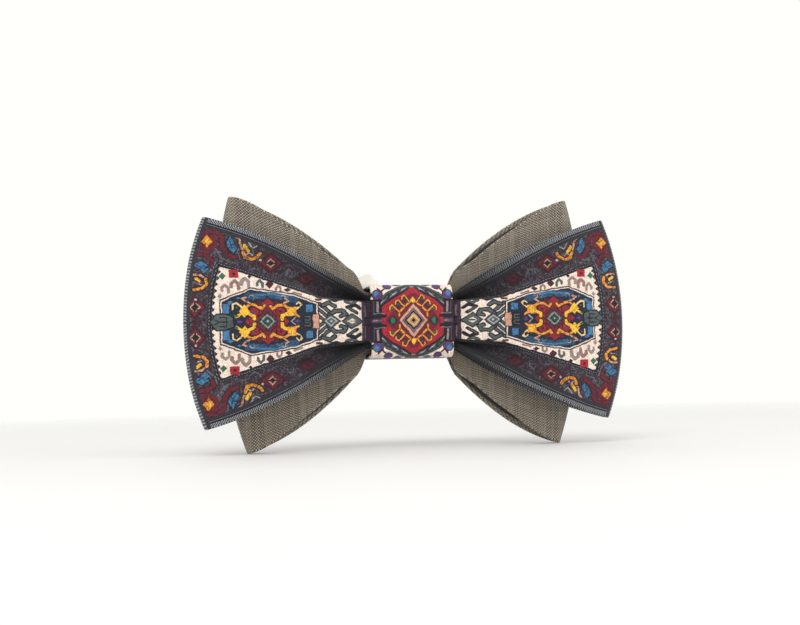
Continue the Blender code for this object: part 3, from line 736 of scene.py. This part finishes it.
def ribbon_cloth(tree):
    """A ribbed neck ribbon with a firmer selvedge along both sides, its rib crowns lighter and its grooves
    darker by painted light and shade.
    """
    along, across, _ = attribute(tree, "threads")
    fine = grain(tree, 3.0, detail=3.0, seed=6.0)
    ribs = abs(along.sine(2.0 * RIB_PITCH)).math("SQRT")
    warp = abs(across.sine(2.0 * WARP_PITCH))
    selvedge = (abs(across) - (STRAP_HALF_W - SELVEDGE_W)).fade(0.0, 0.15)
    height = ribs * (selvedge * -0.6 + 1.0) + warp * 0.25
    # Painted highlight and shade: the colour follows the ribs' height, lighter on their crowns and darker in
    # the grooves.
    thread = blend_colours(tree, srgb(66, 60, 54), srgb(112, 104, 92), height * 0.6 + (fine[0] - 0.5) * 0.6)
    colour = blend_colours(tree, thread, srgb(90, 83, 73), selvedge * 0.6)
    finish_cloth(tree, colour, (fine[2] - 0.5) * 0.2 + 0.62, 0.2, height + fine[1] * 0.3, 0.09)


def felt(tree):
    """Pressed fibre interlining."""
    coarse = grain(tree, 1.2, detail=6.0, seed=8.0)
    fibres = grain(tree, 7.0, detail=4.0, seed=9.0)
    colour = blend_colours(tree, srgb(40, 39, 41), srgb(74, 72, 72), coarse[0] * 0.6 + fibres[0] * 0.4)
    finish_cloth(tree, colour, (fibres[2] - 0.5) * 0.1 + 0.92, 0.1, fibres[1] + coarse[1], 0.15)


def sewing_thread(tree):
    """Twisted sewing thread, with painted shade in the grooves of its twist."""
    fine = grain(tree, 5.0, detail=3.0, seed=10.0)
    place = add(tree, "TexCoord").outputs["Object"]
    inputs = {"Vector": place, "Scale": 1.4 / MM, "Distortion": 1.5}
    twist = add(tree, "TexWave", inputs, bands_direction="DIAGONAL")
    strand = Field(tree, twist.outputs["Fac"])
    # Painted shade and highlight: the same twist wave that raises the strands makes them lighter and their
    # grooves darker.
    colour = blend_colours(tree, srgb(38, 36, 38), srgb(92, 88, 86), strand * 0.7 + (fine[0] - 0.5) * 0.6)
    finish_cloth(tree, colour, (fine[1] - 0.5) * 0.2 + 0.6, 0.2, strand, 0.05)


def nickel_plate(tree):
    """Bright nickel plate with fine polishing lines and slightly dull hollows."""
    lines = grain(tree, 6.0, seed=11.0)
    cloud = grain(tree, 0.35, detail=5.0, seed=12.0)
    colour = blend_colours(tree, srgb(222, 219, 206), srgb(246, 243, 232), cloud[0] * 1.6 - 0.3)
    rough = ((lines[0] - 0.5) * 0.12 + (cloud[1] - 0.5) * 0.25 + 0.32).clamp(0.08, 0.6)
    finish(tree, lines[1], 0.002, {"Base Color": colour, "Metallic": 1.0, "Roughness": rough})


LOOKS = {
    "printed_cloth": partial(printed_cloth, ground="ground", paint=paint_wing),
    "knot_cloth": partial(printed_cloth, ground="ivory", paint=paint_knot),
    "taupe_cloth": taupe_cloth,
    "strap_cloth": ribbon_cloth,
    "interlining": felt,
    "thread": sewing_thread,
    "nickel": nickel_plate,
}


def make_materials():
    """One material for each of the record's slots, and one more for the knot's print."""
    looks = {}
    for name, fill in LOOKS.items():
        looks[name], tree = new_material(f"{name}_look")
        fill(tree)
    return looks


# ======== meshes


def add_object(name, data):
    """A scene object for a mesh, a camera or a light."""
    obj = bpy.data.objects.new(name, data)
    bpy.context.scene.collection.objects.link(obj)
    return obj


def new_object(name, points, faces, mat, slot):
    """A smooth mesh object from layer points in millimetres."""
    mesh = bpy.data.meshes.new(name)
    mesh.from_pydata([(x * MM, (y + SHIFT_Y) * MM, z * MM) for x, y, z in points], [], faces)
    mesh.update()
    mesh.shade_smooth()
    mesh.materials.append(mat)
    obj = add_object(name, mesh)
    return obj


def keep(obj, name, values):
    """Keep a vector for each vertex, for the material."""
    stored = obj.data.attributes.new(name, "FLOAT_VECTOR", "POINT")
    stored.data.foreach_set("vector", [number for value in values for number in value])


def ring_faces(rows, count, closed=True):
    """Quads over rings of count points; the last ring joins the first one when closed."""
    faces = []
    for row in range(rows if closed else rows - 1):
        this, below = row * count, (row + 1) % rows * count
        for c in range(count):
            after = (c + 1) % count
            faces.append((this + c, this + after, below + after, below + c))
    return faces


def ramp(value, low, high):
    """0 below low, 1 above high, smooth between."""
    t = min(max((value - low) / (high - low), 0.0), 1.0)
    return t * t * (3.0 - 2.0 * t)


def mix(a, b, t):
    """Between a and b."""
    return a + (b - a) * t


def half_turns(steps):
    """Angles inside a half turn, without its ends."""
    return [math.pi * i / steps for i in range(1, steps)]


# ======== bows


def front_half_height(d):
    """Half height of the front bow at a distance d from the middle."""
    t = max(d - 12.0, 0.0) / 46.0
    return WAIST_HALF_H + 0.2 * ramp(d, 3.0, 11.0) + 21.2 * t * (1.5 - 0.5 * t)


def rear_half_height(d):
    """Half height of the rear bow."""
    t = max(d - 11.3, 0.0) / 35.7
    waist = WAIST_HALF_H + 1.1 * ramp(d, 3.0, 10.4) + 3.4 * ramp(d, 10.6, 14.2)
    return waist + 23.4 * t * (1.7 - 0.7 * t)


def front_strip_height(d):
    """Half height of the front bow's raised middle strip, which carries the pale field near the knot."""
    waist = 5.5 + 0.5 * ramp(d, 12.0, 25.0)
    return waist + 2.7 * ramp(d, 24.0, 31.0) + 0.277 * max(d - 29.0, 0.0)


def rear_strip_height(d):
    """Half height of the rear bow's middle strip."""
    return 0.5 * rear_half_height(d)


def valley(v):
    """How far the cloth dips across a ply: a steep wall beside the strip, then a slow rise to the edge."""
    a = abs(v)
    return ramp(a, 0.47, 0.56) * (1.0 - 0.85 * ramp(a, 0.58, 0.98))


def front_ply_y(d, v):
    """Front mid surface of the front bow."""
    body = 2.6 * ramp(d, 11.6, 15.0) + 2.6 * ramp(d, 14.0, 38.0) - 1.4 * ramp(d, 44.0, 58.0)
    depth = 3.5 * ramp(d, 11.6, 14.5) * (1.0 - ramp(d, 19.0, 44.0))
    crown = 0.5 * ramp(d, 12.0, 18.0) * (1.0 - min((v / 0.5) ** 2, 1.0))
    return FRONT_BOW_Y - WAIST_PLY_SPREAD / 2.0 - body + depth * valley(v) - crown


def front_back_y(d, _):
    """Rear mid surface of the front bow."""
    return FRONT_BOW_Y + WAIST_PLY_SPREAD / 2.0 - 2.9 * ramp(d, 14.0, 58.0)


def rear_ply_y(d, v):
    """Front mid surface of the rear bow."""
    return REAR_BOW_Y - WAIST_PLY_SPREAD / 2.0 - 1.2 * ramp(d, 14.0, 40.0) * (1.0 - 0.5 * abs(v))


def rear_back_y(d, _):
    """Rear mid surface of the rear bow."""
    return REAR_BOW_Y + WAIST_PLY_SPREAD / 2.0 - 0.6 * ramp(d, 14.0, 48.0)


FRONT_BOW = {
    "half_height": front_half_height,
    "strip_height": front_strip_height,
    "front": front_ply_y,
    "back": front_back_y,
    "corner_x": 55.0,
    "bulge": 5.0,
    "drawn_in": 0.5,
    "lean": 0.0,
    "left_stretch": 0.0,
}
REAR_BOW = {
    "half_height": rear_half_height,
    "strip_height": rear_strip_height,
    "front": rear_ply_y,
    "back": rear_back_y,
    "corner_x": 45.0,
    "bulge": 5.0,
    "drawn_in": 2.0,
    "lean": 0.0013,  # share by which a point reaches further out for each millimetre up
    "left_stretch": 0.018,  # share by which the left wing is longer
}


def fractions(edge):
    """Fractions across a ply, closer together beside the strip's valley and at the edge."""
    half = [0.0, 0.06, 0.12, 0.18, 0.24, 0.3, 0.35, 0.4, 0.44, 0.47, 0.49, 0.51, 0.53, 0.55, 0.58, 0.62]
    half += [0.66, 0.7, 0.75, 0.8, 0.85, 0.89, 0.93, 0.96, 0.98, 1.0]
    half = [v * edge for v in half]
    return [-v for v in reversed(half[1:])] + half


def height_at(bow, d, v, drawn_in=0.0):
    """Z of a ply at distance d and fraction v across."""
    drawn = drawn_in * ramp(d, 12.0, 20.0) * (1.0 - ramp(d, 28.0, bow["corner_x"] - 2.0))
    full = bow["half_height"](d) - drawn
    strip = min(bow["strip_height"](d), 0.86 * full)
    a = abs(v)
    z = strip * a / 0.5 if a <= 0.5 else mix(strip, full, (a - 0.5) / 0.5)
    return math.copysign(z, v)


def loop_points(bow, v, offset, rise):
    """A loop's closed plan line at fraction v: x, y, z, distance from the fold and distance along."""
    edge = height_at(bow, bow["corner_x"], v) / bow["half_height"](bow["corner_x"])
    reach = bow["corner_x"] + bow["bulge"] * (1.0 - edge * edge)
    stop = reach - FOLD_R
    fold_y = (bow["front"](stop, v) + bow["back"](stop, v)) / 2.0
    last = WAIST_STATIONS[-1]
    stations = WAIST_STATIONS + [mix(last, stop, i / WING_STEPS) for i in range(1, WING_STEPS + 1)]
    half = []
    for d in stations:
        y = mix(bow["front"](d, v), fold_y - FOLD_R, ramp(d, stop - FOLD_EASE, stop))
        half.append((d, y - offset, height_at(bow, d, v, bow["drawn_in"]) + rise, reach - d, d))
    for angle in half_turns(FOLD_STEPS):
        r = FOLD_R + offset
        x = stop + r * math.sin(angle)
        z = height_at(bow, x, v) + rise
        half.append((x, fold_y - r * math.cos(angle), z, max(reach - x, 0.0), stop + FOLD_R * angle))
    whole = 2.0 * stop + FOLD_R * math.pi
    for d in reversed(stations):
        y = mix(bow["back"](d, v), fold_y + FOLD_R, ramp(d, stop - FOLD_EASE, stop))
        half.append((d, y + offset, height_at(bow, d, v) + rise, reach - d, whole - d))
    return half + [(-x, *others) for x, *others in reversed(half[1:-1])]


def rounded_sections(inner, outer, edge):
    """Sections (v, offset, rise) round a ply's thickness, with rounded long edges."""
    middle, half_t = (inner + outer) / 2.0, (outer - inner) / 2.0
    turns = half_turns(EDGE_STEPS)
    sections = [(v, outer, 0.0) for v in fractions(edge)]
    sections += [(edge, middle + half_t * math.cos(a), half_t * math.sin(a)) for a in turns]
    sections += [(v, inner, 0.0) for v in reversed(fractions(edge))]
    return sections + [(-edge, middle - half_t * math.cos(a), -half_t * math.sin(a)) for a in turns]


def make_loop(name, bow, sections, mat, slot):
    """A bow's ring of cloth."""
    points, places, edges, threads = [], [], [], []
    half_height, corner_height = bow["half_height"], bow["half_height"](bow["corner_x"])
    for v, offset, rise in sections:
        for x, y, z, from_fold, along in loop_points(bow, v, offset, rise):
            d = abs(x)
            # Painted shade: how dark the valleys beside the raised middle strip are made, strongest near the
            # knot and fading outwards; kept as the third number of place.
            shade = ramp(abs(v), 0.48, 0.56) * (1.0 - 0.7 * ramp(d, 14.0, 34.0) - 0.3 * ramp(d, 32.0, 58.0))
            reach = 1.0 + bow["lean"] * z + (bow["left_stretch"] if x < 0.0 else 0.0)
            points.append((x * reach, y, z))
            places.append((d - PRINT_SHIFT * ramp(d, 12.0, 26.0), z / PRINT_SQUASH, shade))
            edges.append((from_fold, half_height(d) * (1.0 - abs(v)), 0.0))
            across = v * math.sqrt(half_height(d) * corner_height)
            threads.append((along, across + math.copysign(offset + 1.0, v), 0.0))
    obj = new_object(name, points, ring_faces(len(sections), len(points) // len(sections)), mat, slot)
    for label, values in (("place", places), ("edge", edges), ("threads", threads)):
        keep(obj, label, values)
    return obj


def make_bows(looks):
    """Both loops of cloth and their interlinings."""
    face = CLOTH_T / 2.0
    core = -face - PLY_GAP
    cloth_sections = rounded_sections(-face, face, 1.0)
    core_sections = rounded_sections(core - INTERLINING_T, core, INTERLINING_EDGE)
    for bow_name, bow, cloth in (("front", FRONT_BOW, "printed_cloth"), ("rear", REAR_BOW, "taupe_cloth")):
        for ending, node, sections, slot in (("", "cloth", cloth_sections, cloth),
                                             ("_core", "interlining", core_sections, "interlining")):
            loop = make_loop(f"{bow_name}_bow{ending}", bow, sections, looks[slot], slot)
            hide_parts(f"{bow_name}_bow_{node}")
            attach(loop, "bow")


# ======== knot band


def band_outline():
    """Points (y, z, girth) round the band, girth running from the middle of its front; and the whole way."""
    radius, front, back, top = KNOT_CORNER_R, KNOT_FRONT_Y, KNOT_BACK_Y, KNOT_HALF_H
    corners = [(front + radius, top - radius, 180.0), (back - radius, top - radius, 90.0),
               (back - radius, radius - top, 0.0), (front + radius, radius - top, -90.0)]
    turning = [(front, 0.0)]
    for y, z, start in corners:
        for i in range(7):
            angle = math.radians(start - 90.0 * i / 6)
            turning.append((y + radius * math.cos(angle), z + radius * math.sin(angle)))
    turning.append((front, 0.0))
    outline, girth = [], 0.0
    for (y0, z0), (y1, z1) in zip(turning, turning[1:]):
        span = math.hypot(y1 - y0, z1 - z0)
        parts = max(1, round(span / 0.9))
        outline += [(mix(y0, y1, k / parts), mix(z0, z1, k / parts), girth + span * k / parts)
                    for k in range(parts)]
        girth += span
    return outline, girth


def crease(s, girth, total):
    """How far the band's cloth dips into its soft gathers."""
    way = min(girth, total - girth)
    pull = 0.16 * math.exp(-((abs(s) - 0.8) / 0.1) ** 2) * (0.5 + 0.5 * math.cos(way * 1.9))
    return pull + 0.12 * math.exp(-((s + 0.35) / 0.09) ** 2) * ramp(way, 4.0, 9.0)


def squeeze(y, z, depth):
    """A point on the band's outside moved in by depth."""
    middle, half_y = (KNOT_FRONT_Y + KNOT_BACK_Y) / 2.0, (KNOT_BACK_Y - KNOT_FRONT_Y) / 2.0
    return middle + (y - middle) * (half_y - depth) / half_y, z * (KNOT_HALF_H - depth) / KNOT_HALF_H


def wrap(girth, total):
    """The print repeats round the band, mirrored, with a whole number of repeats."""
    repeat = total / 6.0
    t = girth / repeat
    whole = math.floor(t)
    return (t - whole if whole % 2 == 0 else whole + 1 - t) * repeat


def make_knot(looks):
    """The band over the waist, domed at the front, with turned-in sides."""
    rim = half_turns(4)
    flat = [-1.0 + 2.0 * i / KNOT_STEPS for i in range(KNOT_STEPS + 1)]
    sections = [(s, 0.0, 0.0) for s in flat]
    sections += [(1.0, CLOTH_T * (1.0 - math.cos(a)) / 2.0, RIM_OUT * math.sin(a)) for a in rim]
    sections += [(-s, CLOTH_T, 0.0) for s in flat]
    sections += [(-1.0, CLOTH_T * (1.0 + math.cos(a)) / 2.0, -RIM_OUT * math.sin(a)) for a in rim]
    outline, total = band_outline()
    points, places, threads = [], [], []
    for s, depth, out in sections:
        for y, z, girth in outline:
            moved_y, moved_z = squeeze(y, z, depth)
            if y < KNOT_FRONT_Y + 0.9:
                moved_y -= KNOT_DOME * (1.0 - s * s) * max(0.0, 1.0 - (z / KNOT_HALF_H) ** 2)
                moved_y += 0.0 if depth else crease(s, girth, total)
            points.append((s * (KNOT_HALF_W - RIM_OUT) + out, moved_y, moved_z))
            places.append((s * KNOT_HALF_W, wrap(girth, total), 0.0))
            threads.append((s * KNOT_HALF_W + KNOT_FIRST_THREAD[0], girth + KNOT_FIRST_THREAD[1], 0.0))
    faces = ring_faces(len(sections), len(outline))
    obj = new_object("knot_band", points, faces, looks["knot_cloth"], "printed_cloth")
    keep(obj, "place", places)
    keep(obj, "threads", threads)
    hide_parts("knot_band_cloth")
    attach(obj, "bow")


# ======== neck strap


def make_ribbon(name, stations, place, looks):
    """A closed ribbon: place(station, across, out) gives each point, and stations are distances along it."""
    half_t = STRAP_T / 2.0
    flat_w = STRAP_HALF_W - half_t
    flat = [mix(-flat_w, flat_w, i / 12) for i in range(13)]
    rim = [(flat_w + half_t * math.sin(a), half_t * math.cos(a)) for a in half_turns(4)]
    section = [(w, half_t) for w in flat] + rim
    section += [(-across, -out) for across, out in section]
    points = [place(station, across, out) for station in stations for across, out in section]
    faces = ring_faces(len(stations), len(section), closed=False)
    faces += [tuple(reversed(range(len(section)))), tuple(range(len(points) - len(section), len(points)))]
    obj = new_object(name, points, faces, looks["strap_cloth"], "strap_cloth")
    keep(obj, "threads", [(station, across, 0.0) for station in stations for across, _ in section])
    return obj


def even_steps(start, end, step):
    """Distances from start to end, about a step apart, without the end."""
    parts = max(1, round(abs(end - start) / step))
    return [mix(start, end, i / parts) for i in range(parts)]


def make_fold(name, from_x, fold_x, y_from, y_to, reach, looks, tilt=0.0):
    """A ribbon from from_x over a fold and back by reach; tilt leans the fold's line."""
    outward = math.copysign(1.0, fold_x - from_x)
    side_of = math.copysign(1.0, y_to - y_from)
    radius, middle = abs(y_to - y_from) / 2.0, (y_from + y_to) / 2.0
    normal = (outward * math.cos(tilt), outward * math.sin(tilt))
    axis = (-math.sin(tilt), math.cos(tilt))
    slack = STRAP_HALF_W * math.tan(abs(tilt)) + 0.2
    turn_end = math.pi * radius

    def place(station, across, out):
        flat = outward * station
        past = flat * normal[0] + across * normal[1]
        level = flat * axis[0] + across * axis[1]
        turned = min(max(past / radius, 0.0), math.pi)
        beyond = min(past, 0.0) - max(past - turn_end, 0.0) + (radius + out) * math.sin(turned)
        depth = middle - side_of * (radius + out) * math.cos(turned)
        return (fold_x + level * axis[0] + beyond * normal[0], depth, level * axis[1] + beyond * normal[1])

    stations = even_steps(-abs(fold_x - from_x), -slack, LEG_STEP)
    stations += even_steps(-slack, turn_end + slack, (turn_end + 2.0 * slack) / BEND_STEPS)
    stations += even_steps(turn_end + slack, turn_end + reach, LEG_STEP) + [turn_end + reach]
    return make_ribbon(name, stations, place, looks)


def wrap_path(start, bar_s, bar_y, run_y, clearance, back_to):
    """Points (s, y) of a run that eases past a bar, turns round it and comes back."""
    path = [(s, run_y) for s in even_steps(start, bar_s - 3.4, LEG_STEP)]
    path += [(mix(bar_s - 3.4, bar_s - 0.4, t / 6), mix(run_y, bar_y - clearance, ramp(t / 6, 0.0, 1.0)))
             for t in range(7)]
    turns = [math.pi * i / BEND_STEPS for i in range(BEND_STEPS + 1)]
    path += [(bar_s + 0.3 + clearance * math.sin(a), bar_y - clearance * math.cos(a)) for a in turns]
    return path + [(mix(bar_s - 0.6, back_to, i / 3), bar_y + clearance) for i in range(4)]


def make_wrap(name, path, origin_x, slant, looks):
    """A ribbon along a path of (s, y), s running from origin_x at an angle in XZ."""
    along = [0.0]
    for (s0, y0), (s1, y1) in zip(path, path[1:]):
        along.append(along[-1] + math.hypot(s1 - s0, y1 - y0))
    index = {distance: i for i, distance in enumerate(along)}

    def place(station, across, out):
        i = index[station]
        before, after = path[max(i - 1, 0)], path[min(i + 1, len(path) - 1)]
        ds, dy = after[0] - before[0], after[1] - before[1]
        size = math.hypot(ds, dy)
        s, y = path[i][0] + dy / size * out, path[i][1] - ds / size * out
        return (origin_x + s * math.cos(slant) - across * math.sin(slant), y,
                s * math.sin(slant) + across * math.cos(slant))

    return make_ribbon(name, along, place, looks)


def layer_point(x, y):
    """A point of the frame, in metres, from a layer point at mid height."""
    return (x * MM, (y + SHIFT_Y) * MM, 0.0)


def make_folds(looks):
    """The three folds of the strap and the hook end's slanting one."""
    full, to_loop, tilted = STRAP_FOLD_X, STRAP_FOLD_X - LOOP_START_X, HOOK_SLANT / 2.0
    folds = [
        ("hook", HOOK_FOLD_X, CENTRE_RUN_Y, HOOK_RUN_Y, HOOK_REACH, "strap_centre", "hook_end", tilted),
        ("first", STRAP_FOLD_X, CENTRE_RUN_Y, SECOND_RUN_Y, full, "strap_centre", "strap_second", 0.0),
        ("second", -STRAP_FOLD_X, SECOND_RUN_Y, THIRD_RUN_Y, full, "strap_second", "strap_third", 0.0),
        ("third", STRAP_FOLD_X, THIRD_RUN_Y, ADJUSTER_RUN_Y, to_loop, "strap_third", "strap_adjuster", 0.0),
    ]
    for name, fold_x, y_from, y_to, reach, first, second, tilt in folds:
        piece = make_fold(f"strap_{name}_fold", 0.0, fold_x, y_from, y_to, reach, looks, tilt)
        clear = math.copysign(STRAP_T / 2.0 + 0.03, y_to - y_from)  # both runs lie outside the turning part
        start, end = layer_point(fold_x, y_from + clear), layer_point(fold_x, y_to - clear)
        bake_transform(piece)
        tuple(start)
        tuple(end)
        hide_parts(f"{first}_run")


def make_wraps(looks):
    """The ribbon's turns round the hook's bar, the eye's bar and the slide's bar."""
    path = wrap_path(HOOK_REACH, HOOK_BAR_S, HOOK_RUN_Y, HOOK_RUN_Y, HOOK_BAR_R, HOOK_BAR_S - 3.4)
    hook_wrap = make_wrap("strap_hook_wrap", path, HOOK_FOLD_X, HOOK_SLANT, looks)
    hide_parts("strap_hook_run")
    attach(hook_wrap, "hook_end")
    # The eye travels half as far as the slide, so its loop is half way between the run and the slide.
    eye_loop = make_fold("strap_eye_loop", LOOP_START_X, EYE_LOOP_X, ADJUSTER_RUN_Y, RETURN_RUN_Y, 0.0, looks)
    start = layer_point(LOOP_START_X, 0.0)
    far_end = layer_point(2.0 * EYE_LOOP_X - LOOP_START_X, 0.0)
    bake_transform(eye_loop)
    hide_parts("strap_adjuster_run")
    path = wrap_path(EYE_LOOP_X, SLIDE_X + 0.3, BAR_Y, RETURN_RUN_Y, SLIDE_BAR_R, SLIDE_X - 4.2)
    returned = make_wrap("strap_slide_wrap", path, 0.0, 0.0, looks)
    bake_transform(returned)
    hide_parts("strap_return_run")


# ======== hardware and thread, from the CAD's own meshes


def cad_copy(name, node, body, mat, slot, round_off=0.0):
    """A welded, smooth copy of a CAD piece that stands for it, with its sharp edges rounded off."""
    shape = bmesh.new()
    shape.from_mesh(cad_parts[node].data)
    bmesh.ops.remove_doubles(shape, verts=shape.verts, dist=0.002 * MM)
    bmesh.ops.dissolve_limit(shape, angle_limit=math.radians(1.0), verts=shape.verts, edges=shape.edges)
    if round_off:
        corner = math.radians(25.0)
        sharp = [e for e in shape.edges if len(e.link_faces) == 2 and e.calc_face_angle() > corner]
        bmesh.ops.bevel(shape, geom=sharp, offset=round_off * MM, segments=3, profile=0.5, affect="EDGES",
                        clamp_overlap=True)
    mesh = bpy.data.meshes.new(name)
    shape.to_mesh(mesh)
    shape.free()
    mesh.materials.append(mat)
    mesh.shade_smooth()
    obj = add_object(name, mesh)
    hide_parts(node)
    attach(obj, body)
    return obj


def make_fittings(looks):
    """Hook, eye and slide with rounded edges, and all the sewing, rounded by subdivision."""
    for name, node, body in (("hook_plate", "hook", "hook_end"), ("eye_plate", "eye", "eye"),
                             ("slide_buckle", "adjuster_slide", "slide")):
        metal = cad_copy(name, node, body, looks["nickel"], "nickel", METAL_ROUND)
        metal.data.set_sharp_from_angle(angle=math.radians(40.0))
    for name, node, body in (
        ("waist_thread", "waist_binding_thread", "bow"),
        ("front_tack", "front_bow_tack_stitches", "bow"),
        ("rear_tack", "rear_bow_tack_stitches", "bow"),
        ("knot_seam", "knot_closing_stitches", "bow"),
        ("hook_seam", "hook_stitches", "hook_end"),
        ("slide_seam", "slide_stitches", "slide"),
    ):
        rounder = cad_copy(name, node, body, looks["thread"], "thread").modifiers.new("round", "SUBSURF")
        rounder.levels = 1
        rounder.render_levels = 1
    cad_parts["knot_band_interlining"].material_slots[0].material = looks["interlining"]


# ======== stage


def aim(obj, target, roll=0.0):
    """Turn an object's -Z towards a point, then roll it."""
    direction = (Vector(target) - obj.location).to_track_quat("-Z", "Y")
    obj.rotation_mode = "QUATERNION"
    obj.rotation_quaternion = direction @ Matrix.Rotation(roll, 4, "Z").to_quaternion()


def make_camera():
    """The viewpoint: a little to the left of the bow and below it, leaning a little."""
    azimuth, elevation, distance = math.radians(-12.0), math.radians(-3.7), 0.294
    data = bpy.data.cameras.new("camera")
    data.sensor_width = 36.0
    data.lens = 48.4
    data.shift_x = -0.0111
    data.shift_y = 0.0116
    data.clip_start = 0.01
    camera = add_object("camera", data)
    target = Vector(layer_point(0.0, 0.0))
    level = math.cos(elevation)
    back = Vector((math.sin(azimuth) * level, -math.cos(azimuth) * level, math.sin(elevation)))
    camera.location = target + back * distance
    aim(camera, target, math.radians(-1.46))
    bpy.context.scene.camera = camera


def make_light(name, location, size, power):
    """A soft square light aimed at the bow."""
    data = bpy.data.lights.new(name, "AREA")
    data.size = size
    data.energy = power
    light = add_object(name, data)
    light.location = location
    aim(light, (0.0, 0.0, 0.0))


def mix_shaders(tree, factor, low, high, output):
    """Between two shaders by a factor, into the tree's output node."""
    mixer = add(tree, "MixShader", {0: factor, 1: low.outputs[0], 2: high.outputs[0]})
    tree.links.new(mixer.outputs[0], tree.nodes[output].inputs["Surface"])


def floor_material():
    """Pale card that fades into the white surroundings with distance."""
    mat, tree = new_material("floor_look")
    card = tree.nodes["Principled BSDF"]
    card.inputs["Base Color"].default_value = srgb(240, 239, 236)
    card.inputs["Roughness"].default_value = 0.7
    x, y, _ = split(tree, "XYZ", add(tree, "TexCoord").outputs["Object"])
    mix_shaders(tree, length(x, y).fade(0.16, 0.7), card, add(tree, "BsdfTransparent"), "Material Output")
    return mat


def make_world():
    """White surroundings, a little brighter to the camera than to the cloth."""
    world = bpy.data.worlds.new("world")
    world.use_nodes = True
    tree = world.node_tree
    backdrop = tree.nodes["Background"]
    backdrop.inputs["Color"].default_value = (1.0, 1.0, 0.97, 1.0)
    glow = add(tree, "Background", {"Color": (1.0, 0.995, 0.985, 1.0), "Strength": 0.86})
    to_camera = add(tree, "LightPath").outputs["Is Camera Ray"]
    mix_shaders(tree, to_camera, glow, backdrop, "World Output")
    return world


def make_stage():
    """A round pale floor, white surroundings and soft lights."""
    sides, radius, floor_z = 96, 0.75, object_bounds()[0].z - 0.05 * MM
    turns = [2.0 * math.pi * i / sides for i in range(sides)]
    mesh = bpy.data.meshes.new("floor")
    rim = [(radius * math.cos(a), radius * math.sin(a), floor_z) for a in turns]
    mesh.from_pydata(rim, [], [tuple(range(sides))])
    mesh.materials.append(floor_material())
    add_object("floor", mesh)
    bpy.context.scene.world = make_world()
    make_light("key", (-0.25, -0.55, 0.6), 0.5, 2.5)
    make_light("fill", (0.5, -0.45, 0.3), 0.6, 0.9)
    bpy.context.scene.view_settings.view_transform = "Standard"


def build():
    """Everything, in the order in which it is put together."""
    looks = make_materials()
    make_bows(looks)
    make_knot(looks)
    make_folds(looks)
    make_wraps(looks)
    make_fittings(looks)
    make_camera()
    make_stage()


build()
